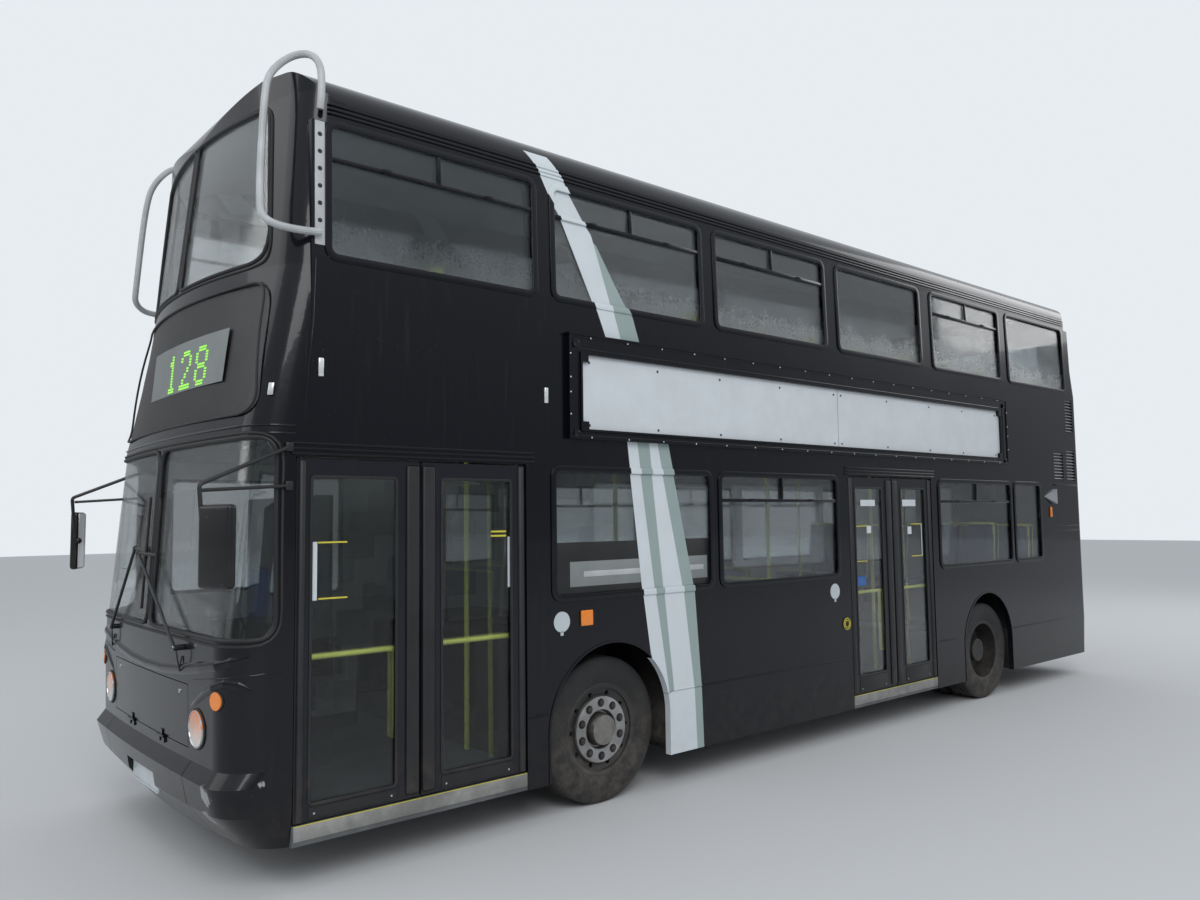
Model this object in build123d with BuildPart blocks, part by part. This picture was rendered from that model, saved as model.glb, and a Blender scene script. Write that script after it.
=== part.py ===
# Double decker bus with a two-leaf front door and a two-leaf exit door on the left.
# Frame: X forward, Y left, Z up, millimetres, origin on the ground under the middle.
import math
import os

from build123d import *

os.makedirs("parts", exist_ok=True)

# Main sizes
HALF_WIDTH = 1260.0
SIDE_WALL = 45.0
SIDE_REAR_X = -4900.0
DOOR_POST_X = 4673.0
MOULDING_LAP = 73.0
MOULDING_REAR_X = DOOR_POST_X - MOULDING_LAP
SKIRT_Z = 235.0
WAIST_Z = 1366.0
LOWER_GLASS_TOP = 2197.0
HEADER_Z = 2215.0
SCREEN_HEAD_Z = 2330.0
UPPER_SILL_Z = 3299.0
UPPER_GLASS_TOP = 4050.0
GUTTER_Z = 4140.0
DOME_Z = 4225.0
ROOF_Z = 4395.0
FIT = 0.3

# Floors
LOWER_FLOOR_Z = 340.0
REAR_FLOOR_Z = 740.0
FLOOR_THICKNESS = 50.0
STEP_X = -1750.0
BULKHEAD_X = -3950.0
UPPER_FLOOR_Z = 2380.0
UPPER_FLOOR_THICKNESS = 60.0

# Running gear
FRONT_AXLE_X = 2520.0
REAR_AXLE_X = -2630.0
TYRE_RADIUS = 478.0
TYRE_WIDTH = 275.0
RIM_RADIUS = 300.0
FRONT_WHEEL_Y = 1040.0
KINGPIN_Y = 920.0
REAR_OUTER_Y = 1070.0
TWIN_PITCH = 315.0
ARCH_WALL = 20.0
ARCH_TOP_Z = 1100.0

# Openings in the side
FRONT_DOOR = (3200.0, 4673.0)
EXIT_DOOR = (-1600.0, -230.0)
LEAF_THICKNESS = 35.0
LEAF_OUTER_Y = 1250.0
LEAF_BOTTOM_Z = 350.0
LEAF_TOP_Z = 2205.0
POST_RADIUS = 16.0

INNER_Y = HALF_WIDTH - SIDE_WALL
GLASS = 6.0
GLASS_DEPTH = 12.0

# Plan outline of the front, from the bumper up: z, nose x, bow radius, corner radius, half width
FRONT_ROWS = [
    (235, 4910, 8000, 250, 1235),
    (420, 5052, 12000, 220, 1255),
    (570, 5075, 20000, 200, 1260),
    (640, 5026, 20000, 220, 1260),
    (1040, 5036, 20000, 220, 1260),
    (1275, 5032, 20000, 220, 1260),
    (2330, 4972, 9000, 210, 1260),
    (3250, 4903, 3500, 210, 1258),
    (4225, 4798, 4000, 210, 1233),
    (4500, 4798, 4000, 210, 1233),
]
# Plan outline of the rear, with x counted rearward: z, tail x, bow radius, corner radius, half width
LOFT_BACK_X = 4400.0
REAR_ROWS = [
    (235, 5085, 12000, 120, 1250),
    (640, 5105, 12000, 120, 1260),
    (3250, 5105, 12000, 120, 1258),
    (4225, 4985, 9000, 160, 1233),
    (4500, 4985, 9000, 160, 1233),
]


def row_at(rows, z):
    """The outline sizes at height z, between two rows of the table."""
    for low, high in zip(rows, rows[1:]):
        if low[0] <= z <= high[0]:
            share = (z - low[0]) / (high[0] - low[0])
            return [a + share * (b - a) for a, b in zip(low, high)]
    raise ValueError("height outside the table")


def rows_between(rows, low_z, high_z):
    """Rows of a table from low_z to high_z, with both ends."""
    middle = [list(row) for row in rows if low_z < row[0] < high_z]
    return [row_at(rows, low_z)] + middle + [row_at(rows, high_z)]


def plan_outline(row, back_x, inset, direction):
    """Closed plan outline: two sides, two rounded corners and a bowed end."""
    z, nose, bow, corner, half = row
    nose, bow, corner, half = nose - inset, bow - inset, corner - inset, half - inset
    corner_y = half - corner
    bow_x = nose - bow
    corner_x = bow_x + math.sqrt((bow - corner) ** 2 - corner_y ** 2)
    turn = math.atan2(corner_y, corner_x - bow_x)
    joint_x, joint_y = bow_x + bow * math.cos(turn), bow * math.sin(turn)
    half_turn = (turn + math.pi / 2) / 2
    mid_x = corner_x + corner * math.cos(half_turn)
    mid_y = corner_y + corner * math.sin(half_turn)
    with BuildSketch(Plane.XY.offset(z)) as outline:
        with BuildLine():
            Line((direction * back_x, -half), (direction * back_x, half))
            Line((direction * back_x, half), (direction * corner_x, half))
            ThreePointArc((direction * corner_x, half), (direction * mid_x, mid_y),
                          (direction * joint_x, joint_y))
            ThreePointArc((direction * joint_x, joint_y), (direction * nose, 0),
                          (direction * joint_x, -joint_y))
            ThreePointArc((direction * joint_x, -joint_y), (direction * mid_x, -mid_y),
                          (direction * corner_x, -half))
            Line((direction * corner_x, -half), (direction * back_x, -half))
        make_face()
    return outline.sketch


def outline_point(rows, along, z, inset=0.0):
    """A point of the nose outline, counted along it from the middle, at a depth below the surface."""
    _, nose, bow, corner, half = row_at(rows, z)
    corner_y = half - corner
    bow_x = nose - bow
    corner_x = bow_x + math.sqrt((bow - corner) ** 2 - corner_y ** 2)
    turn = math.atan2(corner_y, corner_x - bow_x)
    side, distance = math.copysign(1, along), abs(along)
    if distance <= bow * turn:
        angle, reach, centre = distance / bow, bow - inset, (bow_x, 0)
    else:
        angle, reach, centre = turn + (distance - bow * turn) / corner, corner - inset, (corner_x, corner_y)
    return centre[0] + reach * math.cos(angle), side * (centre[1] + reach * math.sin(angle)), z


def end_loft(rows, low_z, high_z, inset, direction, mode=Mode.ADD):
    """A body section between two heights, as a ruled loft of its plan outlines."""
    outlines = [plan_outline(row, LOFT_BACK_X, inset, direction) for row in rows_between(rows, low_z, high_z)]
    loft(outlines, ruled=True, mode=mode)


def end_wall(rows, low_z, high_z, cut_x, wall, direction, outer=0.0):
    """The same section as a wall, cut off square behind cut_x."""
    end_loft(rows, low_z, high_z, outer, direction)
    end_loft(rows, low_z, high_z, wall, direction, mode=Mode.SUBTRACT)
    kept_x = sorted((cut_x, direction * 6000))
    block(kept_x, (-2 * HALF_WIDTH, 2 * HALF_WIDTH), (low_z - 10, high_z + 10), mode=Mode.INTERSECT)


def block(x_range, y_range, z_range, mode=Mode.ADD):
    """A box given by its limits along X, Y and Z."""
    centre = [(low + high) / 2 for low, high in (x_range, y_range, z_range)]
    size = [high - low for low, high in (x_range, y_range, z_range)]
    with Locations(tuple(centre)):
        Box(*size, mode=mode)


def side_block(side, x_range, y_range, z_range, mode=Mode.ADD):
    """A box whose Y limits are counted outward on one side of the bus."""
    low, high = sorted(side * y for y in y_range)
    block(x_range, (low, high), z_range, mode)


def rod(start, end, radius, mode=Mode.ADD):
    """A straight round bar between two points."""
    path = Vector(*end) - Vector(*start)
    with BuildSketch(Plane(origin=start, z_dir=path)) as section:
        Circle(radius)
    extrude(section.sketch, amount=path.length, mode=mode)


def barrel(x, z, y_range, radius, mode=Mode.ADD):
    """A round bar along Y."""
    with BuildSketch(Plane.XZ.offset(-y_range[1])) as section:
        with Locations((x, z)):
            Circle(radius)
    extrude(section.sketch, amount=y_range[1] - y_range[0], mode=mode)


def finish(part, label):
    """Names a finished piece and writes its file."""
    part.label = label
    export_step(part, f"parts/{label}.step")


def arch_outline(axle_x, radius, centre_z, side_y=0.0):
    """Wheel arch seen from the side: a round top on straight legs."""
    with BuildSketch(Plane.XZ.offset(-side_y)) as arch:
        with Locations((axle_x, centre_z)):
            Circle(radius)
        with Locations((axle_x, centre_z / 2)):
            Rectangle(2 * radius, centre_z)
    return arch.sketch


# Wheel arches: axle x of the opening, radius, height of the round's centre
FRONT_ARCH = (2501.0, 523.0, 530.0)
REAR_ARCH = (REAR_AXLE_X, 490.0, 575.0)

# Glazed openings: x of the rear and front edge
UPPER_BAYS = [(3115, 4507), (1564, 2971), (17, 1410), (-1520, -167), (-3127, -1735), (-4723, -3307)]
LOWER_BAYS_LEFT = [(1513, 2988), (-68, 1415), (-3222, -1735), (-3926, -3307)]
LOWER_BAYS_RIGHT = [(3640, 4560), (-68, 1415), (-1600, -230), (-3222, -1735), (-3926, -3307)]


def gaps_between(bays, rear_x, front_x):
    """The pillar stretches that a row of bays leaves."""
    edges = sorted(bays)
    starts = [rear_x] + [front for _, front in edges]
    ends = [rear for rear, _ in edges] + [front_x]
    return [(start, end) for start, end in zip(starts, ends) if end - start > 1]


# Lower side panels, from the skirt to the waist, with arch lips, panel seams and the fuel filler
LIP_WIDTH = 14.0
LIP_HEIGHT = 5.0
SEAM_Z = 662.0
SEAM = 4.0
FILLER = (-148.0, 958.0)
FILLER_RADIUS = 46.0
FILLER_HEIGHT = 7.0


def arch_lip(axle_x, radius, centre_z):
    """The raised edge of a wheel arch on both sides, down to the skirt."""
    for side in (1, -1):
        face_y = side * HALF_WIDTH
        with BuildSketch(Plane.XZ.offset(-face_y)) as lip:
            add(arch_outline(axle_x, radius + LIP_WIDTH, centre_z, face_y))
            add(arch_outline(axle_x, radius, centre_z, face_y), mode=Mode.SUBTRACT)
            with Locations((axle_x, 0)):
                Rectangle(4 * radius, 2 * SKIRT_Z, mode=Mode.SUBTRACT)
        extrude(lip.sketch, amount=-side * LIP_HEIGHT)


with BuildPart() as lower_panels:
    for x_range in [(FRONT_DOOR[0], EXIT_DOOR[1]), (EXIT_DOOR[0], SIDE_REAR_X)]:
        side_block(1, sorted(x_range), (INNER_Y, HALF_WIDTH), (SKIRT_Z, WAIST_Z))
    side_block(-1, (SIDE_REAR_X, DOOR_POST_X), (INNER_Y, HALF_WIDTH), (SKIRT_Z, WAIST_Z))
    for side in (1, -1):
        side_block(side, (SIDE_REAR_X, DOOR_POST_X), (HALF_WIDTH - SEAM, HALF_WIDTH + 1),
                   (SEAM_Z - SEAM / 2, SEAM_Z + SEAM / 2), mode=Mode.SUBTRACT)
    for arch in (FRONT_ARCH, REAR_ARCH):
        arch_lip(*arch)
        extrude(arch_outline(*arch), amount=2 * HALF_WIDTH, both=True, mode=Mode.SUBTRACT)
    barrel(*FILLER, (HALF_WIDTH - 1, HALF_WIDTH + FILLER_HEIGHT), FILLER_RADIUS)
finish(lower_panels.part, "lower_panels")


def half_width_at(z):
    """Half the body's width on the upper deck, which leans in towards the roof."""
    return row_at(FRONT_ROWS, z)[4]


def leaning_strip(side, inner, outer, z_range=(UPPER_SILL_Z, UPPER_GLASS_TOP)):
    """Section of the side wall between two depths, leaning in towards the roof."""
    with BuildSketch(Plane.YZ) as strip:
        with BuildLine():
            low_z, high_z = z_range
            low, high = half_width_at(low_z), half_width_at(high_z)
            Polyline((side * (low - inner), low_z), (side * (low - outer), low_z),
                     (side * (high - outer), high_z), (side * (high - inner), high_z), close=True)
        make_face()
    return strip.sketch


def rectangle_xz(x_range, z_range):
    """A rectangle on the side plane, given by its limits."""
    with Locations(((x_range[0] + x_range[1]) / 2, (z_range[0] + z_range[1]) / 2)):
        Rectangle(x_range[1] - x_range[0], z_range[1] - z_range[0])


def along_x(section, x_range, mode=Mode.ADD):
    """Extrudes a section of the YZ plane between two x positions."""
    moved = section.moved(Location((x_range[0], 0, 0)))
    extrude(moved, amount=x_range[1] - x_range[0], dir=(1, 0, 0), mode=mode)


# Air scoop on the left quarter panel: it opens rearward
SCOOP_X = (-4275.0, -4035.0)
SCOOP_Z = (1973.0, 2142.0)
SCOOP_HEIGHT = 45.0


def air_scoop():
    """A three-sided scoop that rises from the wall towards its rear mouth."""
    root_y = HALF_WIDTH - 1
    with BuildPart() as scoop:
        with BuildSketch(Plane.XZ.offset(-root_y)) as outline:
            with BuildLine():
                Polyline((SCOOP_X[1], sum(SCOOP_Z) / 2), (SCOOP_X[0], SCOOP_Z[1]), (SCOOP_X[0], SCOOP_Z[0]),
                         close=True)
            make_face()
        extrude(outline.sketch, amount=-SCOOP_HEIGHT - 1)
        with BuildSketch(Plane.XY.offset(SCOOP_Z[0] - 1)) as rise:
            with BuildLine():
                Polyline((SCOOP_X[1] + 1, root_y - 1), (SCOOP_X[1] + 1, HALF_WIDTH + 2),
                         (SCOOP_X[0], HALF_WIDTH + SCOOP_HEIGHT), (SCOOP_X[0], root_y - 1), close=True)
            make_face()
        extrude(rise.sketch, amount=SCOOP_Z[1] - SCOOP_Z[0] + 2, mode=Mode.INTERSECT)
    return scoop.part


# Window pillars of both decks, with the blank quarter panels
with BuildPart() as window_pillars:
    left_bays = LOWER_BAYS_LEFT + [EXIT_DOOR]
    for x_range in gaps_between(left_bays, SIDE_REAR_X, FRONT_DOOR[0]):
        side_block(1, x_range, (INNER_Y, HALF_WIDTH), (WAIST_Z, LOWER_GLASS_TOP))
    for x_range in gaps_between(LOWER_BAYS_RIGHT, SIDE_REAR_X, DOOR_POST_X):
        side_block(-1, x_range, (INNER_Y, HALF_WIDTH), (WAIST_Z, LOWER_GLASS_TOP))
    for side in (1, -1):
        for x_range in gaps_between(UPPER_BAYS, SIDE_REAR_X, MOULDING_REAR_X):
            along_x(leaning_strip(side, 0, SIDE_WALL), x_range)
    add(air_scoop())
finish(window_pillars.part, "window_pillars")

# Band between the decks, which carries the door headers, their ribs and the air louvres
RIB = (8.0, 14.0)
RIB_LOW_Z = (2224.0, 2251.0, 2278.0)
LOUVRE_DEPTH = 14.0
LOUVRE_PITCH = 36.0
LOUVRE_SLOPE = 12.0
LOUVRE_SHEET = 5.0
# Louvres: rear x, front x, foot z, number of blades
LOUVRES = [(-4886, -4690, 2814, 11), (-4575, -4330, 2249, 9), (-4886, -4668, 2249, 10)]


def louvre_blades(rear_x, front_x, foot_z, blades):
    """A recess in the left wall with sloping blades, which shed rain outward."""
    z_range = (foot_z, foot_z + blades * LOUVRE_PITCH)
    block((rear_x, front_x), (HALF_WIDTH - LOUVRE_DEPTH, HALF_WIDTH + 1), z_range, mode=Mode.SUBTRACT)
    inner, outer = HALF_WIDTH - LOUVRE_DEPTH - 1, HALF_WIDTH - 1
    for blade in range(blades):
        root_z = foot_z + (blade + 0.6) * LOUVRE_PITCH
        edge_z = root_z - LOUVRE_SLOPE
        with BuildSketch(Plane.YZ) as section:
            with BuildLine():
                Polyline((inner, root_z), (outer, edge_z), (outer, edge_z + LOUVRE_SHEET),
                         (inner, root_z + LOUVRE_SHEET), close=True)
            make_face()
        along_x(section.sketch, (rear_x - 1, front_x + 1))


with BuildPart() as deck_bands:
    for side in (1, -1):
        for x_range, head_z in (((SIDE_REAR_X, MOULDING_REAR_X), UPPER_SILL_Z),
                                ((MOULDING_REAR_X, DOOR_POST_X), SCREEN_HEAD_Z)):
            side_block(side, x_range, (INNER_Y, HALF_WIDTH), (LOWER_GLASS_TOP, head_z))
    for door in (FRONT_DOOR, EXIT_DOOR):
        side_block(1, door, (INNER_Y, HALF_WIDTH), (LOWER_GLASS_TOP, HEADER_Z), mode=Mode.SUBTRACT)
        for rib_z in RIB_LOW_Z:
            side_block(1, door, (HALF_WIDTH - 1, HALF_WIDTH + RIB[0]), (rib_z, rib_z + RIB[1]))
    for louvre in LOUVRES:
        louvre_blades(*louvre)
finish(deck_bands.part, "deck_bands")

# Window frames: a flange on the wall, a sleeve down to the glass and the bars of the hoppers
FLANGE_LAP = 16.0
HEAD_LAP = 8.0
FLANGE_HEIGHT = 9.0
SLEEVE = 22.0
FRAME_CORNER = 38.0
HOPPER_DROP = 200.0
HOPPER_BAR = 24.0
HOPPERED = [(3115, 4507), (1564, 2971), (17, 1410), (-3127, -1735), (-68, 1415), (-3222, -1735),
            (-1600, -230)]


def chamfered_prism(x_range, z_range, corner, mode):
    """A box through the whole bus with its four corners cut off, seen from the side."""
    with BuildSketch(Plane.XZ.offset(-2 * HALF_WIDTH)) as view:
        rectangle_xz(x_range, z_range)
        chamfer(view.vertices(), corner)
    extrude(view.sketch, amount=4 * HALF_WIDTH, mode=mode)


def window_frame(side, bay, z_range, sill_lap):
    """The frame of one side window, with hopper bars where the window has them."""
    low_z, high_z = z_range
    flange_x = (bay[0] - FLANGE_LAP, bay[1] + FLANGE_LAP)
    flange_z = (low_z - sill_lap, high_z + HEAD_LAP)
    with BuildPart() as frame:
        along_x(leaning_strip(side, -FLANGE_HEIGHT, -FIT, flange_z), flange_x)
        chamfered_prism(flange_x, flange_z, FRAME_CORNER, Mode.INTERSECT)
        along_x(leaning_strip(side, -FLANGE_HEIGHT, GLASS_DEPTH - FIT, (low_z + FIT, high_z - FIT)),
                (bay[0] + FIT, bay[1] - FIT))
        chamfered_prism((bay[0] + SLEEVE, bay[1] - SLEEVE), (low_z + SLEEVE, high_z - SLEEVE), FRAME_CORNER,
                        Mode.SUBTRACT)
        if bay in HOPPERED:
            bar_z = high_z - HOPPER_DROP
            middle = (bay[0] + bay[1]) / 2
            half_bar = HOPPER_BAR / 2
            for x_range, bar_range in (((bay[0] + 1, bay[1] - 1), (bar_z - half_bar, bar_z + half_bar)),
                                       ((middle - half_bar, middle + half_bar), (bar_z, high_z - 1))):
                along_x(leaning_strip(side, 0, GLASS_DEPTH - FIT, bar_range), x_range)
    return frame.part


with BuildPart() as window_frames:
    for side, lower_bays in ((1, LOWER_BAYS_LEFT), (-1, LOWER_BAYS_RIGHT)):
        for bay in lower_bays:
            add(window_frame(side, bay, (WAIST_Z, LOWER_GLASS_TOP), FLANGE_LAP))
        for bay in UPPER_BAYS:
            add(window_frame(side, bay, (UPPER_SILL_Z, UPPER_GLASS_TOP), -FIT))
finish(window_frames.part, "window_frames")


# Side glass of both decks
with BuildPart() as side_glass:
    for side, bays in ((1, LOWER_BAYS_LEFT), (-1, LOWER_BAYS_RIGHT)):
        for rear_x, front_x in bays:
            side_block(side, (rear_x + FIT, front_x - FIT),
                       (HALF_WIDTH - GLASS_DEPTH - GLASS, HALF_WIDTH - GLASS_DEPTH),
                       (WAIST_Z + FIT, LOWER_GLASS_TOP - FIT))
    for side in (1, -1):
        for rear_x, front_x in UPPER_BAYS:
            along_x(leaning_strip(side, GLASS_DEPTH, GLASS_DEPTH + GLASS), (rear_x + FIT, front_x - FIT))
finish(side_glass.part, "side_glass")

# Roof: crowned section, rounded front and rear ends
ROOF_WALL = 40.0
SHOULDER = 220.0
DOME_RADIUS = 170.0
GUTTER_LIP = 4.0


def roof_body(inset):
    """The roof as a solid block, shrunk by inset on its outside."""
    edge_y = half_width_at(GUTTER_Z) + GUTTER_LIP - inset
    low_y = HALF_WIDTH + 40
    top_z = ROOF_Z - inset
    round_r = SHOULDER - inset
    shoulder_y = edge_y - round_r
    shoulder_z = GUTTER_Z + round_r
    diagonal = round_r * math.sqrt(0.5)
    with BuildPart() as body:
        with BuildSketch(Plane.YZ.offset(-5200)):
            with BuildLine():
                for side in (1, -1):
                    Polyline((side * low_y, UPPER_GLASS_TOP), (side * low_y, GUTTER_Z),
                             (side * edge_y, GUTTER_Z))
                    ThreePointArc((side * edge_y, GUTTER_Z),
                                  (side * (shoulder_y + diagonal), GUTTER_Z + diagonal),
                                  (side * shoulder_y, shoulder_z))
                ThreePointArc((shoulder_y, shoulder_z), (0, top_z), (-shoulder_y, shoulder_z))
                Line((-low_y, UPPER_GLASS_TOP), (low_y, UPPER_GLASS_TOP))
            make_face()
        extrude(amount=10400)
        front_x = row_at(FRONT_ROWS, DOME_Z)[1] - inset
        rear_x = -row_at(REAR_ROWS, DOME_Z)[1] + inset
        dome_r = DOME_RADIUS - inset
        bend = dome_r * (1 - math.sqrt(0.5))
        with BuildSketch(Plane.XZ.offset(-1400)):
            with BuildLine():
                Line((rear_x - 200, UPPER_GLASS_TOP), (front_x + 200, UPPER_GLASS_TOP))
                Line((front_x + 200, UPPER_GLASS_TOP), (front_x, DOME_Z))
                ThreePointArc((front_x, DOME_Z), (front_x - bend, top_z - bend), (front_x - dome_r, top_z))
                Line((front_x - dome_r, top_z), (rear_x + dome_r, top_z))
                ThreePointArc((rear_x + dome_r, top_z), (rear_x + bend, top_z - bend), (rear_x, DOME_Z))
                Line((rear_x, DOME_Z), (rear_x - 200, UPPER_GLASS_TOP))
            make_face()
        extrude(amount=2800, mode=Mode.INTERSECT)
    with BuildPart() as plan:
        end_loft(FRONT_ROWS, UPPER_GLASS_TOP, 4500, inset, 1)
        end_loft(REAR_ROWS, UPPER_GLASS_TOP, 4500, inset, -1)
        with BuildSketch(Plane.YZ.offset(-LOFT_BACK_X)):
            with BuildLine():
                low_half, high_half = half_width_at(UPPER_GLASS_TOP) - inset, half_width_at(4500) - inset
                Polyline((-low_half, UPPER_GLASS_TOP), (low_half, UPPER_GLASS_TOP), (high_half, 4500),
                         (-high_half, 4500), close=True)
            make_face()
        extrude(amount=2 * LOFT_BACK_X)
        add(body.part, mode=Mode.INTERSECT)
    return plan.part


with BuildPart() as roof:
    add(roof_body(0))
    add(roof_body(ROOF_WALL), mode=Mode.SUBTRACT)
    block((MOULDING_REAR_X, 5200), (-1400, 1400), (UPPER_GLASS_TOP - 50, DOME_Z), mode=Mode.SUBTRACT)
    block((-5300, SIDE_REAR_X), (-1400, 1400), (UPPER_GLASS_TOP - 50, DOME_Z), mode=Mode.SUBTRACT)
finish(roof.part, "roof")

# Front panel below the windscreens, with the flap opening and the lamp recesses
PANEL_WALL = 40.0
BUMPER_TOP_Z = 640.0
SCREEN_SILL_Z = 1275.0
FLAP_HALF_WIDTH = 724.0
FLAP_Z = (699.0, 1030.0)
FLAP_GAP = 5.0
LAMP_Y = 857.0
LAMP_Z = 817.0
LAMP_RADIUS = 97.0
LAMP_HEIGHT = 12.0
# Indicator: distance along the nose and height
INDICATOR = (1098.0, 988.0)
INDICATOR_RADIUS = 46.0
INDICATOR_DEPTH = 16.0
INDICATOR_HEIGHT = 8.0
# Beads on the panel's surface: distance along the nose, height, and how far the bead stands proud
RIDGE_RADIUS = 42.0
RIDGE = [(0, 1063, 13), (300, 1070, 13), (600, 1094, 13), (900, 1134, 13), (1080, 1160, 11), (1190, 1182, 8),
         (1264, 1200, 2)]
BROW_RADIUS = 30.0
BROW = [(773, 922, 2), (850, 960, 8), (960, 1011, 11), (1056, 1047, 12), (1150, 1077, 11), (1225, 1070, 9),
        (1290, 1040, 2)]
HINGE_RADIUS = 7.0
HINGE_HALF = 60.0
HINGE_STAND = 2.0
HINGE_REACH = 34.0
FLAP_HINGE_Y = 300.0


def surface_x(rows, direction, y, z):
    """X of a body end's surface at a place on it, away from the corners."""
    _, nose, bow, _, _ = row_at(rows, z)
    return direction * (nose - bow + math.sqrt(bow * bow - y * y))


def hinge_axis_x(rows, direction, hinge_y, z):
    """X of a hinge axis that lies on the outer surface at its seam."""
    return surface_x(rows, direction, hinge_y, z) + direction * (HINGE_RADIUS + HINGE_STAND)


def hinge_halves(rows, direction, hinge_y, z, moving, upward):
    """Barrels and plates of two butt hinges, for the moving or for the fixed side of a seam."""
    axis_x = hinge_axis_x(rows, direction, hinge_y, z)
    for side in (1, -1):
        middle = side * hinge_y
        third = HINGE_HALF / 3
        spans = [(-third + FIT, third - FIT)] if moving else [(-HINGE_HALF, -third), (third, HINGE_HALF)]
        for low, high in spans:
            barrel(axis_x, z, (middle + low, middle + high), HINGE_RADIUS)
            root_x = axis_x - direction * (HINGE_RADIUS + 6)
            edge_z = z + upward * (2 + FIT)
            block(sorted((root_x, axis_x - direction * 1)), (middle + low, middle + high),
                  sorted((edge_z, z + upward * HINGE_REACH)))


def surface_bead(points, radius):
    """A rounded bead that runs along the nose and sinks into it where it stands less proud."""
    spots = [outline_point(FRONT_ROWS, along, z, radius - proud) for along, z, proud in points]
    for start, end in zip(spots, spots[1:]):
        rod(start, end, radius)
    with Locations(*spots):
        Sphere(radius)


def indicator(side, inner, outer, radius, mode=Mode.ADD):
    """A round bar square to the nose at an indicator, between two depths."""
    along, z = INDICATOR
    rod(outline_point(FRONT_ROWS, side * along, z, inner), outline_point(FRONT_ROWS, side * along, z, outer),
        radius, mode)


def mirrored_run(points):
    """The points of a bead on one side, carried on over the middle to the other."""
    return [(-along, z, proud) for along, z, proud in reversed(points[1:])] + points


with BuildPart() as front_panel:
    end_wall(FRONT_ROWS, BUMPER_TOP_Z, SCREEN_SILL_Z, DOOR_POST_X, PANEL_WALL, 1)
    surface_bead(mirrored_run(RIDGE), RIDGE_RADIUS)
    for side in (1, -1):
        surface_bead([(side * along, z, proud) for along, z, proud in BROW], BROW_RADIUS)
    end_loft(FRONT_ROWS, BUMPER_TOP_Z, SCREEN_SILL_Z, PANEL_WALL, 1, mode=Mode.SUBTRACT)
    block((4800, 5200), (-FLAP_HALF_WIDTH, FLAP_HALF_WIDTH), FLAP_Z, mode=Mode.SUBTRACT)
    for side in (1, -1):
        with BuildSketch(Plane.YZ.offset(4800)):
            with Locations((side * LAMP_Y, LAMP_Z)):
                Circle(LAMP_RADIUS)
        extrude(amount=400, mode=Mode.SUBTRACT)
        indicator(side, INDICATOR_DEPTH, -2 * INDICATOR_HEIGHT, INDICATOR_RADIUS, Mode.SUBTRACT)
    hinge_halves(FRONT_ROWS, 1, FLAP_HINGE_Y, FLAP_Z[0], moving=False, upward=-1)
finish(front_panel.part, "front_panel")

# Flap in the front panel, hinged along its lower edge
with BuildPart() as front_flap:
    end_wall(FRONT_ROWS, FLAP_Z[0] + FLAP_GAP, FLAP_Z[1] - FLAP_GAP, DOOR_POST_X, PANEL_WALL, 1)
    inside = FLAP_HALF_WIDTH - FLAP_GAP
    block((4900, 5200), (-inside, inside), FLAP_Z, mode=Mode.INTERSECT)
    hinge_halves(FRONT_ROWS, 1, FLAP_HINGE_Y, FLAP_Z[0], moving=True, upward=1)
finish(front_flap.part, "front_flap")

# Bumper in three pieces
BUMPER_JOINT_Y = 760.0
JOINT_WIDTH = 6.0
PLATE_SIZE = (530.0, 125.0)
PLATE_Z = 430.0
PLATE_FACE_X = 5020.0
with BuildPart() as front_bumper:
    end_wall(FRONT_ROWS, SKIRT_Z, BUMPER_TOP_Z - FIT, DOOR_POST_X, 60, 1)
    for side in (1, -1):
        side_block(side, (4600, 5200), (BUMPER_JOINT_Y, BUMPER_JOINT_Y + JOINT_WIDTH), (200, 700),
                   mode=Mode.SUBTRACT)
    block((PLATE_FACE_X, 5300), (-PLATE_SIZE[0] / 2, PLATE_SIZE[0] / 2),
          (PLATE_Z - PLATE_SIZE[1] / 2, PLATE_Z + PLATE_SIZE[1] / 2), mode=Mode.SUBTRACT)
finish(front_bumper.part, "front_bumper")

# Windscreen frame: corner posts, top and bottom rail and the centre bar
SCREEN_SIDE_X = 4767.0
SCREEN_LOW_Z = 1287.0
SCREEN_HIGH_Z = 2312.0
SCREEN_CORNER = 110.0
CENTRE_BAR = 44.0


def screen_opening(clearance):
    """Side view of the lower windscreen opening, as wide as the bus."""
    with BuildSketch(Plane.XZ.offset(-1400)) as view:
        width = 5300 - SCREEN_SIDE_X
        height = SCREEN_HIGH_Z - SCREEN_LOW_Z - 2 * clearance
        with Locations((SCREEN_SIDE_X + clearance + width / 2, (SCREEN_LOW_Z + SCREEN_HIGH_Z) / 2)):
            RectangleRounded(width, height, SCREEN_CORNER)
    with BuildPart() as opening:
        extrude(view.sketch, amount=2800)
        block((4600, 5400), (-CENTRE_BAR / 2 - clearance, CENTRE_BAR / 2 + clearance), (1200, 2400),
              mode=Mode.SUBTRACT)
    return opening.part


with BuildPart() as windscreen_frame:
    end_wall(FRONT_ROWS, SCREEN_SILL_Z, SCREEN_HEAD_Z, DOOR_POST_X, PANEL_WALL, 1)
    add(screen_opening(0), mode=Mode.SUBTRACT)
finish(windscreen_frame.part, "windscreen_frame")

# Upper front moulding from the screen head to the roof
UPPER_SCREEN = [(22, 3285), (900, 3292), (990, 3325), (1022, 3420), (905, 4195), (22, 4212)]
SIGN = [(1180, 2440), (1075, 3170), (-1075, 3170), (-1180, 2440)]
SIGN_DEPTH = 14.0


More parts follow.
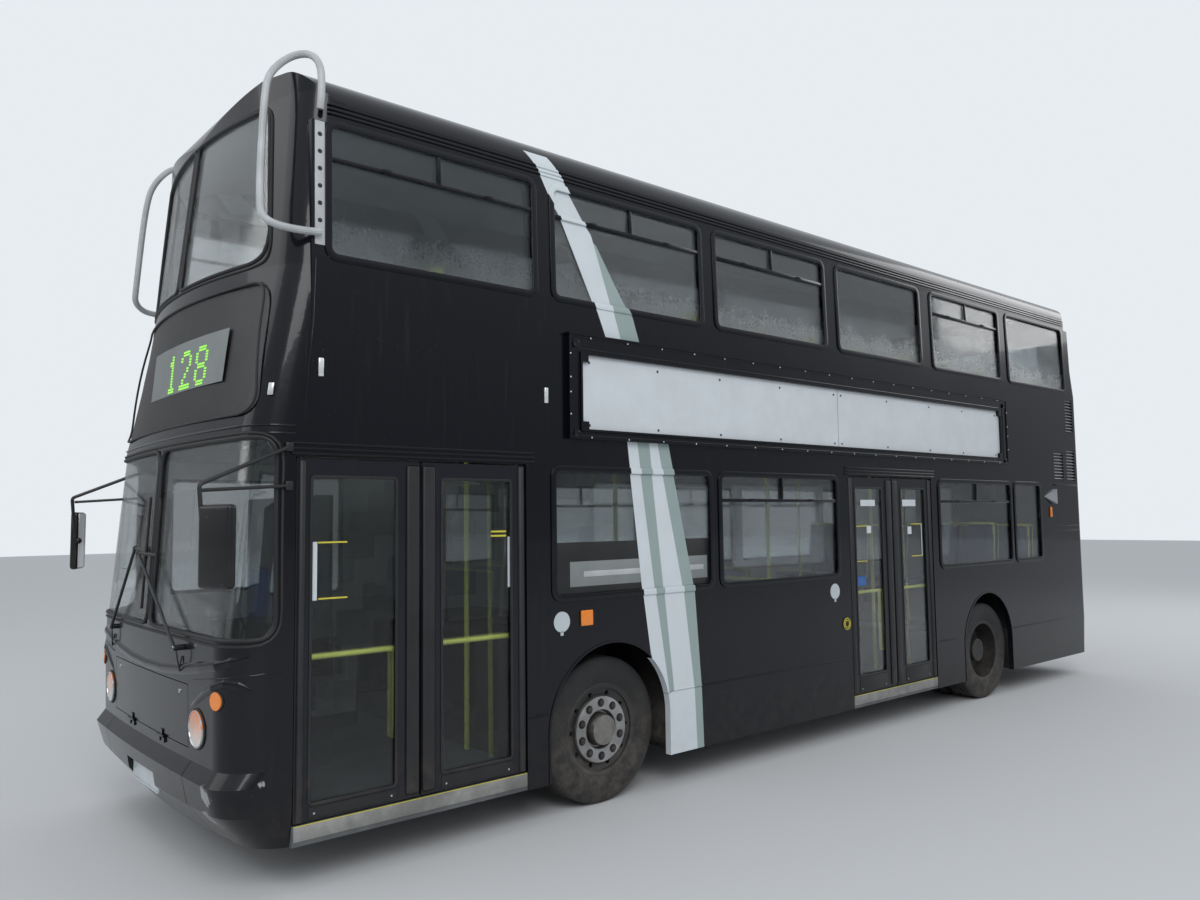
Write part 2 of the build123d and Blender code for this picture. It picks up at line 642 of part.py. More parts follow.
def front_view_cutter(points, radius, mirrored, clearance=0.0):
    """A front-view outline extruded through the nose."""
    with BuildSketch(Plane.YZ.offset(4500)) as view:
        with BuildLine():
            Polyline(*[(y, z) for y, z in points], close=True)
        make_face()
        fillet(view.vertices(), radius)
        if clearance:
            offset(amount=-clearance)
        if mirrored:
            mirror(about=Plane.YZ)
    with BuildPart() as cutter:
        extrude(view.sketch, amount=800)
    return cutter.part


def nose_sheet(z_range, back_x, outer, inner, cutter):
    """The part of the nose between two depths that a cutter keeps."""
    with BuildPart() as sheet:
        end_wall(FRONT_ROWS, *z_range, back_x, inner, 1, outer=outer)
        add(cutter, mode=Mode.INTERSECT)
    return sheet.part


SIGN_Z = (SCREEN_HEAD_Z + 10, UPPER_SILL_Z)
SIGN_CORNER = 90.0
SCREEN_ROUND = 30.0
with BuildPart() as front_moulding:
    end_wall(FRONT_ROWS, SCREEN_HEAD_Z, DOME_Z, MOULDING_REAR_X, PANEL_WALL, 1)
    add(front_view_cutter(UPPER_SCREEN, SCREEN_ROUND, True), mode=Mode.SUBTRACT)
    add(nose_sheet(SIGN_Z, MOULDING_REAR_X, -20, SIGN_DEPTH, front_view_cutter(SIGN, SIGN_CORNER, False)),
        mode=Mode.SUBTRACT)
finish(front_moulding.part, "front_moulding")

sign_pane = front_view_cutter(SIGN, SIGN_CORNER, False, FIT)
finish(nose_sheet(SIGN_Z, MOULDING_REAR_X, 3, SIGN_DEPTH - FIT, sign_pane), "destination_glass")

# Windscreens: two bowed panes on each deck
PANE_DEPTH = 8.0
PANE = 7.0
UPPER_SCREEN_Z = (3250.0, DOME_Z)
with BuildPart() as windscreens:
    add(nose_sheet((SCREEN_LOW_Z - 5, SCREEN_HIGH_Z + 5), DOOR_POST_X, PANE_DEPTH, PANE_DEPTH + PANE,
                   screen_opening(FIT)))
    add(nose_sheet(UPPER_SCREEN_Z, MOULDING_REAR_X, PANE_DEPTH, PANE_DEPTH + PANE,
                   front_view_cutter(UPPER_SCREEN, SCREEN_ROUND, True, FIT)))
finish(windscreens.part, "windscreens")

# Rear panel with the engine opening and the emergency window
REAR_WALL = 45.0
COVER_HALF_WIDTH = 930.0
COVER_Z = (520.0, 1560.0)
COVER_GAP = 6.0
COVER_HINGE_Y = 260.0
REAR_WINDOW = (850.0, 3330.0, 3960.0)
# Air slots of the engine cover: width, height, spacing across and up, columns and rows, middle height
SLOT_SIZE = (520.0, 16.0)
SLOT_SPACING = (640.0, 38.0)
SLOT_COUNT = (2, 9)
SLOT_Z = 1150.0
with BuildPart() as rear_panel:
    end_wall(REAR_ROWS, SKIRT_Z, DOME_Z, SIDE_REAR_X, REAR_WALL, -1)
    block((-5300, -4960), (-COVER_HALF_WIDTH, COVER_HALF_WIDTH), COVER_Z, mode=Mode.SUBTRACT)
    with BuildSketch(Plane.YZ.offset(-5300)):
        with Locations((0, (REAR_WINDOW[1] + REAR_WINDOW[2]) / 2)):
            RectangleRounded(2 * REAR_WINDOW[0], REAR_WINDOW[2] - REAR_WINDOW[1], 90)
    extrude(amount=400, mode=Mode.SUBTRACT)
    hinge_halves(REAR_ROWS, -1, COVER_HINGE_Y, COVER_Z[1], moving=False, upward=1)
finish(rear_panel.part, "rear_panel")

with BuildPart() as engine_cover:
    end_wall(REAR_ROWS, COVER_Z[0] + COVER_GAP, COVER_Z[1] - COVER_GAP, SIDE_REAR_X, REAR_WALL, -1)
    inside = COVER_HALF_WIDTH - COVER_GAP
    block((-5300, -4960), (-inside, inside), COVER_Z, mode=Mode.INTERSECT)
    with BuildSketch(Plane.YZ.offset(-5300)):
        with Locations((0, SLOT_Z)):
            with GridLocations(*SLOT_SPACING, *SLOT_COUNT):
                Rectangle(*SLOT_SIZE)
    extrude(amount=400, mode=Mode.SUBTRACT)
    hinge_halves(REAR_ROWS, -1, COVER_HINGE_Y, COVER_Z[1], moving=True, upward=-1)
finish(engine_cover.part, "engine_cover")

with BuildPart() as rear_window:
    end_wall(REAR_ROWS, 3260, DOME_Z, SIDE_REAR_X, PANE_DEPTH + PANE, -1, outer=PANE_DEPTH)
    with BuildSketch(Plane.YZ.offset(-5300)):
        with Locations((0, (REAR_WINDOW[1] + REAR_WINDOW[2]) / 2)):
            RectangleRounded(2 * (REAR_WINDOW[0] - FIT), REAR_WINDOW[2] - REAR_WINDOW[1] - 2 * FIT, 90)
    extrude(amount=400, mode=Mode.INTERSECT)
finish(rear_window.part, "rear_window")

# Chassis: two rails stepped over the rear axle, cross members and outriggers
RAIL_Y = (430.0, 510.0)
RAIL_LOW_Z = (190.0, LOWER_FLOOR_Z - FLOOR_THICKNESS - FIT)
RAIL_HIGH_Z = (590.0, REAR_FLOOR_Z - FLOOR_THICKNESS - FIT)
RAIL_FRONT_X = 4480.0
RAIL_REAR_X = -4780.0
RAIL_STEP_X = -1860.0
RAIL_STEP = 110.0
CROSS_MEMBER = 70.0
BEAM_WIDTH = 110.0
with BuildPart() as chassis_frame:
    for side in (1, -1):
        side_block(side, (FRONT_AXLE_X + BEAM_WIDTH / 2 + 1, RAIL_FRONT_X), RAIL_Y, RAIL_LOW_Z)
        side_block(side, (RAIL_STEP_X, FRONT_AXLE_X - BEAM_WIDTH / 2 - FIT), RAIL_Y, RAIL_LOW_Z)
        side_block(side, (RAIL_STEP_X, RAIL_STEP_X + RAIL_STEP), RAIL_Y, (RAIL_LOW_Z[0], RAIL_HIGH_Z[1]))
        side_block(side, (RAIL_REAR_X, RAIL_STEP_X + RAIL_STEP), RAIL_Y, RAIL_HIGH_Z)
    low_z = (RAIL_LOW_Z[0], RAIL_LOW_Z[0] + CROSS_MEMBER)
    for x in (4300, 3200, 1700, 700, -300, -1300):
        block((x, x + CROSS_MEMBER), (-RAIL_Y[0], RAIL_Y[0]), low_z)
    for x in (3160, 1800, 400, -250, -1500):
        for side in (1, -1):
            side_block(side, (x, x + 50), (RAIL_Y[1], INNER_Y - FIT), (230, RAIL_LOW_Z[1]))
    for x in (-2000, -3300, -3900):
        block((x, x + CROSS_MEMBER), (-RAIL_Y[0], RAIL_Y[0]), RAIL_HIGH_Z)
finish(chassis_frame.part, "chassis_frame")

# Engine and gearbox as one plain block between the rails
with BuildPart() as engine:
    block((-4760, -4020), (-RAIL_Y[0] + FIT, RAIL_Y[0] - FIT), (360, 1260))
finish(engine.part, "engine")

# Fuel tank and air tanks under the floor
with BuildPart() as tanks:
    side_block(-1, (-1430, -280), (RAIL_Y[1] + FIT, 1000), (200, RAIL_LOW_Z[1]))
    for tank_y in (640, 800):
        with BuildSketch(Plane.YZ.offset(900)):
            with Locations((tank_y, RAIL_LOW_Z[1] - 70)):
                Circle(70 - FIT)
        extrude(amount=700)
finish(tanks.part, "tanks")

# Lower floor with the raised rear part, the engine bulkhead and the door sills
FRONT_HOUSE_X = (1930.0, 3110.0)
FRONT_HOUSE_Y = 540.0
REAR_HOUSE_X = (-3190.0, -2070.0)
REAR_HOUSE_Y = 580.0
FLOOR_FRONT_X = DOOR_POST_X
with BuildPart() as lower_floor:
    with BuildSketch(Plane.XZ.offset(-INNER_Y)):
        with BuildLine():
            low, high = LOWER_FLOOR_Z - FLOOR_THICKNESS, REAR_FLOOR_Z - FLOOR_THICKNESS
            riser_x = STEP_X + FLOOR_THICKNESS
            Polyline((FLOOR_FRONT_X, low), (FLOOR_FRONT_X, LOWER_FLOOR_Z), (riser_x, LOWER_FLOOR_Z),
                     (riser_x, REAR_FLOOR_Z), (BULKHEAD_X, REAR_FLOOR_Z), (BULKHEAD_X, high),
                     (STEP_X, high), (STEP_X, low), close=True)
        make_face()
    extrude(amount=2 * INNER_Y)
    for side in (1, -1):
        side_block(side, FRONT_HOUSE_X, (FRONT_HOUSE_Y, 1300), (200, 400), mode=Mode.SUBTRACT)
        side_block(side, REAR_HOUSE_X, (REAR_HOUSE_Y, 1300), (600, 800), mode=Mode.SUBTRACT)
    block((BULKHEAD_X - 40, BULKHEAD_X), (-INNER_Y, INNER_Y),
          (REAR_FLOOR_Z - FLOOR_THICKNESS, UPPER_FLOOR_Z - UPPER_FLOOR_THICKNESS))
    for rear_x, front_x in (FRONT_DOOR, EXIT_DOOR):
        side_block(1, (rear_x + FIT, front_x - FIT), (INNER_Y, HALF_WIDTH - 4), (SKIRT_Z + 2, LOWER_FLOOR_Z))
finish(lower_floor.part, "lower_floor")

# Wheelhouses: open below and towards the wheel arch
with BuildPart() as wheelhouses:
    for side in (1, -1):
        for x_range, inner_y, base_z in ((FRONT_HOUSE_X, FRONT_HOUSE_Y, LOWER_FLOOR_Z - FLOOR_THICKNESS),
                                         (REAR_HOUSE_X, REAR_HOUSE_Y, REAR_FLOOR_Z - FLOOR_THICKNESS)):
            side_block(side, x_range, (inner_y, INNER_Y), (base_z, ARCH_TOP_Z))
            side_block(side, (x_range[0] + ARCH_WALL, x_range[1] - ARCH_WALL), (inner_y + ARCH_WALL, 1300),
                       (base_z - 10, ARCH_TOP_Z - ARCH_WALL), mode=Mode.SUBTRACT)
finish(wheelhouses.part, "wheelhouses")

# Upper floor with the stair well, and the stairs
STAIR_FRONT_X = 3980.0
STAIR_STEPS = 10
STAIR_RUN = 230.0
STAIR_Y = (620.0, 1205.0)
STAIR_SHEET = 30.0
STAIR_RISE = (UPPER_FLOOR_Z - LOWER_FLOOR_Z) / STAIR_STEPS
WELL_X = (STAIR_FRONT_X - STAIR_STEPS * STAIR_RUN, 3450.0)
CEILING_Z = UPPER_FLOOR_Z - UPPER_FLOOR_THICKNESS
with BuildPart() as upper_floor:
    block((SIDE_REAR_X, MOULDING_REAR_X), (-INNER_Y, INNER_Y), (CEILING_Z, UPPER_FLOOR_Z))
    side_block(-1, WELL_X, (STAIR_Y[0] - 20, INNER_Y), (2200, 2500), mode=Mode.SUBTRACT)
finish(upper_floor.part, "upper_floor")

with BuildPart() as stairs:
    for step in range(STAIR_STEPS):
        riser_x = STAIR_FRONT_X - step * STAIR_RUN
        tread_z = LOWER_FLOOR_Z + (step + 1) * STAIR_RISE
        foot_z = tread_z - STAIR_RISE - (STAIR_SHEET if step else -FIT)
        side_block(-1, (riser_x - STAIR_SHEET, riser_x), STAIR_Y, (foot_z, tread_z))
        if step < STAIR_STEPS - 1:
            side_block(-1, (riser_x - STAIR_RUN, riser_x), STAIR_Y, (tread_z - STAIR_SHEET, tread_z))
finish(stairs.part, "stairs")

# Axles: dropped front beam between the knuckles, rear casing with its hubs
EYE_RADIUS = 58.0
EYE_HALF_HEIGHT = 55.0
PIN_RADIUS = 26.0
AXLE_CLEARANCE = 0.5
AXLE_Z = TYRE_RADIUS
with BuildPart() as axles:
    half_beam = BEAM_WIDTH / 2
    beam_x = (FRONT_AXLE_X - half_beam, FRONT_AXLE_X + half_beam)
    block(beam_x, (-640, 640), (180, RAIL_LOW_Z[1]))
    for side in (1, -1):
        side_block(side, beam_x, (565, 640), (180, AXLE_Z + 45))
        side_block(side, beam_x, (565, KINGPIN_Y - 20), (AXLE_Z - 45, AXLE_Z + 45))
        with BuildSketch(Plane.XY.offset(AXLE_Z - EYE_HALF_HEIGHT)):
            with Locations((FRONT_AXLE_X, side * KINGPIN_Y)):
                Circle(EYE_RADIUS)
        extrude(amount=2 * EYE_HALF_HEIGHT)
        with BuildSketch(Plane.XY.offset(AXLE_Z - EYE_HALF_HEIGHT)):
            with Locations((FRONT_AXLE_X, side * KINGPIN_Y)):
                Circle(PIN_RADIUS + AXLE_CLEARANCE)
        extrude(amount=2 * EYE_HALF_HEIGHT, mode=Mode.SUBTRACT)
    with BuildSketch(Plane.XZ.offset(-1120)):
        with Locations((REAR_AXLE_X, AXLE_Z)):
            Circle(60)
    extrude(amount=2240)
    with BuildSketch(Plane.XZ.offset(-560)):
        with Locations((REAR_AXLE_X, AXLE_Z)):
            Circle(100)
    extrude(amount=1120)
    for side in (1, -1):
        side_block(side, (REAR_AXLE_X - 90, REAR_AXLE_X + 90), RAIL_Y, (AXLE_Z, RAIL_HIGH_Z[0] - FIT))
finish(axles.part, "axles")

# Steering knuckles: a fork round the beam's eye, the kingpin and the stub axle
STUB_RADIUS = 40.0
FRONT_HUB_END_Y = FRONT_WHEEL_Y + 90
KNUCKLE_PLATE = 26.0
for side, name in ((1, "left"), (-1, "right")):
    with BuildPart() as knuckle:
        eye = EYE_HALF_HEIGHT + AXLE_CLEARANCE
        for low in (AXLE_Z + eye, AXLE_Z - eye - KNUCKLE_PLATE):
            with BuildSketch(Plane.XY.offset(low)):
                with Locations((FRONT_AXLE_X, side * KINGPIN_Y)):
                    Circle(50)
                with Locations((FRONT_AXLE_X, side * (KINGPIN_Y + 45))):
                    Rectangle(80, 90)
            extrude(amount=KNUCKLE_PLATE)
        reach = eye + KNUCKLE_PLATE
        side_block(side, (FRONT_AXLE_X - 40, FRONT_AXLE_X + 40), (KINGPIN_Y + EYE_RADIUS + 6, KINGPIN_Y + 90),
                   (AXLE_Z - reach, AXLE_Z + reach))
        with BuildSketch(Plane.XY.offset(AXLE_Z - reach)):
            with Locations((FRONT_AXLE_X, side * KINGPIN_Y)):
                Circle(PIN_RADIUS)
        extrude(amount=2 * reach)
        stub = sorted((side * (KINGPIN_Y + 70), side * FRONT_HUB_END_Y))
        barrel(FRONT_AXLE_X, AXLE_Z, stub, STUB_RADIUS)
    finish(knuckle.part, f"knuckle_{name}")


def wheel_profile(points):
    """Half section of a wheel, given as radius and offset along the axle, turned about the axle."""
    with BuildSketch(Plane.XY) as section:
        with BuildLine():
            Polyline(*points, close=True)
        make_face()
    revolve(section.sketch, axis=Axis.Y)


def at_axle(part, x, y, outward):
    """Moves a wheel made about the Y axis to its axle, dished outward."""
    turned = part if outward > 0 else part.mirror(Plane.XZ)
    return turned.moved(Location((x, y, AXLE_Z)))


# Tyre section: radius and offset from the tyre's middle
HALF_TYRE = TYRE_WIDTH / 2
BEAD_RADIUS = 286.0
TYRE_SECTION = [(BEAD_RADIUS + FIT, -105), (340, -HALF_TYRE), (420, -HALF_TYRE), (TYRE_RADIUS - 8, -115),
                (TYRE_RADIUS, -95), (TYRE_RADIUS, 95), (TYRE_RADIUS - 8, 115), (420, HALF_TYRE),
                (340, HALF_TYRE), (BEAD_RADIUS + FIT, 105)]
# Rim well: radius and offset from the rim's middle, and the same for the front disc with its hub
WELL_RADIUS = BEAD_RADIUS - 16
RIM_SECTION = [(RIM_RADIUS, -118), (BEAD_RADIUS, -112), (BEAD_RADIUS, 112), (RIM_RADIUS, 118),
               (RIM_RADIUS - 8, 120), (WELL_RADIUS, 112), (WELL_RADIUS, -112), (RIM_RADIUS - 8, -120)]
HUB_BORE = STUB_RADIUS + AXLE_CLEARANCE
FRONT_DISC = [(HUB_BORE, 30), (90, 30), (90, 62), (200, 62), (272, 84), (272, 98), (190, 78), (110, 78),
              (96, 150), (60, 158), (0, 158), (0, 92), (HUB_BORE, 92)]
# Vent holes of the front disc: radius of their circle, number and radius
VENTS = (238.0, 10, 16.0)
# Nut guard ring of the front wheels, with a hole for each of the ten nuts
RING_SECTION = [(126, 70), (126, 112), (130, 116), (214, 116), (220, 110), (220, 75)]
NUTS = 10
NUT_CIRCLE = 173.0
NUT_HOLE = 29.0
NUT_HOLE_FLOOR = 84.0
NUT_RADIUS = 20.0
NUT_HEIGHT = 34.0


def wheel_nuts(seat_y):
    """The ring of hexagon nuts on a wheel disc, from just inside its face outward."""
    with BuildSketch(Plane.XZ.offset(-seat_y)) as nuts:
        with PolarLocations(NUT_CIRCLE, NUTS, 90):
            RegularPolygon(NUT_RADIUS, 6)
    extrude(nuts.sketch, amount=-NUT_HEIGHT)


with BuildPart() as tyre:
    wheel_profile(TYRE_SECTION)
with BuildPart() as front_rim:
    wheel_profile(RIM_SECTION)
    wheel_profile(FRONT_DISC)
    with BuildSketch(Plane.XZ.offset(-40)):
        with PolarLocations(*VENTS[:2]):
            Circle(VENTS[2])
    extrude(amount=-80, mode=Mode.SUBTRACT)
    wheel_profile(RING_SECTION)
    with BuildSketch(Plane.XZ.offset(-NUT_HOLE_FLOOR)):
        with PolarLocations(NUT_CIRCLE, NUTS, 90):
            Circle(NUT_HOLE)
    extrude(amount=-NUT_HOLE, mode=Mode.SUBTRACT)
    wheel_nuts(NUT_HOLE_FLOOR - 8)
for side, name in ((1, "left"), (-1, "right")):
    finish(at_axle(tyre.part, FRONT_AXLE_X, side * FRONT_WHEEL_Y, side), f"front_tyre_{name}")
    finish(at_axle(front_rim.part, FRONT_AXLE_X, side * FRONT_WHEEL_Y, side), f"front_wheel_{name}")

# Rear twins: the outer disc lies deep inside, against the inner rim
REAR_BORE = 60.0 + AXLE_CLEARANCE
REAR_DISC_Y = -104.0
with BuildPart() as rear_rim:
    wheel_profile(RIM_SECTION)
    with BuildSketch(Plane.XY):
        with BuildLine():
            Polyline((REAR_BORE, -230), (140, -230), (272, -212), (272, -190), (140, -180), (132, -130),
                     (272, -88), (272, -70), (120, -110), (112, 60), (0, 60), (0, 51), (REAR_BORE, 51),
                     close=True)
        make_face()
    revolve(axis=Axis.Y)
    wheel_profile([(radius, offset_y - TWIN_PITCH) for radius, offset_y in RIM_SECTION])
    wheel_nuts(REAR_DISC_Y)
for side, name in ((1, "left"), (-1, "right")):
    with BuildPart() as rear_tyres:
        for y in (REAR_OUTER_Y, REAR_OUTER_Y - TWIN_PITCH):
            add(at_axle(tyre.part, REAR_AXLE_X, side * y, side))
    finish(rear_tyres.part, f"rear_tyres_{name}")
    finish(at_axle(rear_rim.part, REAR_AXLE_X, side * REAR_OUTER_Y, side), f"rear_wheels_{name}")

# Door leaves: front edge x, rear edge x, pivot x, glass rear x, glass front x, glass foot z, rail z
LEAVES = {
    "front_leaf_a": (4665, 3942, 4665, 4085, 4585, 430, 1165),
    "front_leaf_b": (3930, 3208, 3208, 3308, 3800, 445, 1165),
    "exit_leaf_a": (-238, -908, -238, -760, -335, 495, 1200),
    "exit_leaf_b": (-922, -1592, -1592, -1490, -1065, 495, 1200),
}
GLASS_HEAD_Z = 2115.0
LEAF_INNER_Y = LEAF_OUTER_Y - LEAF_THICKNESS
RAIL_RADIUS = 14.0
RAIL_STAND = 42.0
RAIL_LAP = 30.0
RAIL_FOOT_Z = 680.0


def grab_rail(pivot_x, free_x, rail_z, drops):
    """The grab rail on a leaf's inside, on two stand-offs, with one end bent down where it drops."""
    root_y, rail_y = LEAF_INNER_Y + 5, LEAF_INNER_Y - RAIL_STAND
    bends = [(pivot_x, rail_y, rail_z), (free_x, rail_y, rail_z)]
    bends += [(free_x, rail_y, RAIL_FOOT_Z)] if drops else []
    last_x, _, last_z = bends[-1]
    points = [(pivot_x, root_y, rail_z)] + bends + [(last_x, root_y, last_z)]
    for start, end in zip(points, points[1:]):
        rod(start, end, RAIL_RADIUS)
    with Locations(*bends):
        Sphere(RAIL_RADIUS)


for name, (front_x, rear_x, pivot_x, glass_rear, glass_front, foot_z, rail_z) in LEAVES.items():
    inward = 1 if pivot_x == rear_x else -1
    post_x = pivot_x + inward * POST_RADIUS
    with BuildPart() as leaf:
        block((rear_x, front_x), (LEAF_INNER_Y, LEAF_OUTER_Y), (LEAF_BOTTOM_Z, LEAF_TOP_Z))
        block((glass_rear, glass_front), (LEAF_INNER_Y - 10, LEAF_OUTER_Y + 10), (foot_z, GLASS_HEAD_Z),
              mode=Mode.SUBTRACT)
        with BuildSketch(Plane.XY.offset(LOWER_FLOOR_Z + FIT)):
            with Locations((post_x, LEAF_INNER_Y)):
                Circle(POST_RADIUS)
        extrude(amount=HEADER_Z - LOWER_FLOOR_Z - 2 * FIT)
        pivot_glass, free_glass = (glass_rear, glass_front) if inward > 0 else (glass_front, glass_rear)
        grab_rail((pivot_x + inward * 2 * POST_RADIUS + pivot_glass) / 2, free_glass + inward * RAIL_LAP,
                  rail_z, drops=name.endswith("_a"))
    finish(leaf.part, name)
    with BuildPart() as pane:
        block((glass_rear + FIT, glass_front - FIT), (LEAF_OUTER_Y - 16, LEAF_OUTER_Y - 10),
              (foot_z + FIT, GLASS_HEAD_Z - FIT))
    finish(pane.part, f"{name}_glass")

# Advert frame and board on the left side: outer and inner x and z
ADVERT_OUTER = ((-3150.0, 2875.0), (2392.0, 3085.0))
ADVERT_INNER = ((-3000.0, 2762.0), (2458.0, 2950.0))
ADVERT_DEPTH = 38.0
NOTCH = 50.0
BOARD = 12.0
OUTER_RIB = 22.0
INNER_RIB = 16.0
CHANNEL_DEPTH = 10.0
ROSETTE_RADIUS = 25.0
ROSETTE_HEIGHT = 3.0
# Cornice on the frame's head: overhang and height
CORNICE = (8.0, 12.0)


def notched_window():
    """The board's visible outline, with a square notch at each corner."""
    with BuildSketch(Plane.XZ.offset(-HALF_WIDTH - FIT)) as window:
        rectangle_xz(*ADVERT_INNER)
        for x in ADVERT_INNER[0]:
            for z in ADVERT_INNER[1]:
                with Locations((x, z)):
                    Rectangle(2 * NOTCH, 2 * NOTCH, mode=Mode.SUBTRACT)
    return window.sketch


with BuildPart() as advert_frame:
    with BuildSketch(Plane.XZ.offset(-HALF_WIDTH - FIT)):
        rectangle_xz(*ADVERT_OUTER)
        add(notched_window(), mode=Mode.SUBTRACT)
    extrude(amount=-ADVERT_DEPTH)
    channel_y = HALF_WIDTH + FIT + ADVERT_DEPTH - CHANNEL_DEPTH
    with BuildSketch(Plane.XZ.offset(-channel_y)):
        rectangle_xz(*[(low + OUTER_RIB, high - OUTER_RIB) for low, high in ADVERT_OUTER])
        with BuildSketch(Plane.XZ.offset(-channel_y), mode=Mode.SUBTRACT):
            rectangle_xz(*[(low - INNER_RIB, high + INNER_RIB) for low, high in ADVERT_INNER])
    extrude(amount=-2 * CHANNEL_DEPTH, mode=Mode.SUBTRACT)
    for inner_x, outer_x in zip(ADVERT_INNER[0], ADVERT_OUTER[0]):
        for inner_z, outer_z in zip(ADVERT_INNER[1], ADVERT_OUTER[1]):
            barrel((inner_x + outer_x) / 2, (inner_z + outer_z) / 2,
                   (channel_y - 1, channel_y + CHANNEL_DEPTH + ROSETTE_HEIGHT), ROSETTE_RADIUS)
    frame_rear_x, frame_front_x = ADVERT_OUTER[0]
    head_z = ADVERT_OUTER[1][1]
    overhang, height = CORNICE
    side_block(1, (frame_rear_x - overhang, frame_front_x + overhang),
               (HALF_WIDTH + FIT, HALF_WIDTH + FIT + ADVERT_DEPTH + overhang), (head_z - height, head_z))
finish(advert_frame.part, "advert_frame")

with BuildPart() as advert_board:
    with BuildSketch(Plane.XZ.offset(-HALF_WIDTH - FIT)):
        add(notched_window())
        offset(amount=-FIT)
    extrude(amount=-BOARD)
finish(advert_board.part, "advert_board")

# Mirrors: a bent arm in two stays and a rounded head, on both sides
MIRROR_ARM = 11.0
MIRROR_BEND = (5180.0, 1340.0, 2060.0)
MIRROR_ROOTS = ((4715.0, 2262.0), (4715.0, 2062.0))
MIRROR_HEAD = (52.0, 205.0, 395.0)
MIRROR_HEAD_Z = 1765.0
MIRROR_TOE = 25.0
MIRROR_FOOT = 12.0


with BuildPart() as mirrors:
    for side in (1, -1):
        bend_x, bend_y, bend_z = MIRROR_BEND
        bend = (bend_x, side * bend_y, bend_z)
        clamp = (bend_x - 25, side * bend_y, MIRROR_HEAD_Z)
        for root_x, root_z in MIRROR_ROOTS:
            side_block(side, (root_x - 20, root_x + 20), (HALF_WIDTH + FIT, HALF_WIDTH + 2 * MIRROR_FOOT),
                       (root_z - 24, root_z + 24))
            rod((root_x, side * (HALF_WIDTH + MIRROR_FOOT), root_z), bend, MIRROR_ARM)
        rod(bend, clamp, MIRROR_ARM)
        with Locations(bend, clamp):
            Sphere(1.6 * MIRROR_ARM)
        head_y = bend_y + 85
        with Locations(Location((bend_x - 60, side * head_y, MIRROR_HEAD_Z), (0, 0, side * MIRROR_TOE))):
            Box(*MIRROR_HEAD)
finish(mirrors.part, "mirrors")

# Tree guards: bent tubes round the upper front corners
GUARD_TUBE = 20.0
# Guard path on the left: x, y, z
GUARD_FOOT_Z = 3420.0
GUARD_HEAD_Z = 4105.0
GUARD_PATH = [(4560, half_width_at(GUARD_FOOT_Z) + GUARD_TUBE + FIT, GUARD_FOOT_Z), (4700, 1302, 3395),
              (4845, 1215, 3440), (4850, 1160, 3560), (4810, 1110, 4180), (4760, 1060, 4330),
              (4640, 1060, 4460), (4560, 1170, 4450), (4560, 1296, 4290),
              (4560, half_width_at(GUARD_HEAD_Z) + GUARD_TUBE + FIT, GUARD_HEAD_Z)]
# Perforated foot plate: x and z limits, thickness, and its holes' x, lowest z, spacing, number and radius
PLATE_X = (4527.0, 4583.0)
PLATE_SPAN_Z = (3356.0, UPPER_GLASS_TOP - 5)
PLATE_SHEET = 6.0
PLATE_HOLES = (4555.0, 3490.0, 96.0, 6, 14.0)
with BuildPart() as tree_guards:
    for side in (1, -1):
        along_x(leaning_strip(side, -FIT - PLATE_SHEET, -FIT, PLATE_SPAN_Z), PLATE_X)
        hole_x, hole_z, spacing, count, hole_radius = PLATE_HOLES
        for hole in range(count):
            barrel(hole_x, hole_z + hole * spacing, sorted((side * INNER_Y, side * 1300)), hole_radius,
                   Mode.SUBTRACT)
        points = [(x, side * y, z) for x, y, z in GUARD_PATH]
        for start, end in zip(points, points[1:]):
            rod(start, end, GUARD_TUBE)
        with Locations(*points[1:-1]):
            Sphere(GUARD_TUBE)
finish(tree_guards.part, "tree_guards")

# Wipers: lift off the glass, arm root, arm tip and blade as y and z
WIPERS = [(48, (640, 1215), (-148, 1700), (97, 1360, 2025)),
          (28, (-767, 1215), (-317, 1727), (-118, 1372, 2035))]


def front_x(y, z):
    """X of the front surface at a place on it, away from the corners."""
    return surface_x(FRONT_ROWS, 1, y, z)


with BuildPart() as wipers:
    for lift, (root_y, root_z), (tip_y, tip_z), (blade_y, blade_low, blade_high) in WIPERS:
        root = (front_x(root_y, root_z) + lift, root_y, root_z)
        tip = (front_x(tip_y, tip_z) + lift, tip_y, tip_z)
        low = (front_x(blade_y, blade_low) + 12, blade_y, blade_low)
        high = (front_x(blade_y, blade_high) + 12, blade_y, blade_high)
        joint = tuple((a + b) / 2 for a, b in zip(low, high))
        rod(root, tip, 9)
        rod(tip, joint, 9)
        rod(low, high, 8)
        rod((front_x(root_y, root_z) + 1, root_y, root_z), root, 16)
        with Locations(root, tip):
            Sphere(15)
finish(wipers.part, "wipers")

# Lamps: front clusters and rear clusters
REAR_LAMP_Y = 1060.0
REAR_LAMP_Z = (880.0, 1320.0)
REAR_LAMP_WIDTH = 110.0
REAR_LAMP_HEIGHT = 14.0


def headlamps():
    """The two round headlamps, bowed like the panel that they sit in."""
    with BuildPart() as pair:
        reach = LAMP_RADIUS + LAMP_HEIGHT
        end_wall(FRONT_ROWS, LAMP_Z - reach, LAMP_Z + reach, DOOR_POST_X, PANEL_WALL, 1, outer=-LAMP_HEIGHT)
        with BuildSketch(Plane.YZ.offset(4800)):
            for side in (1, -1):
                with Locations((side * LAMP_Y, LAMP_Z)):
                    Circle(LAMP_RADIUS - FIT)
        extrude(amount=400, mode=Mode.INTERSECT)
    return pair.part


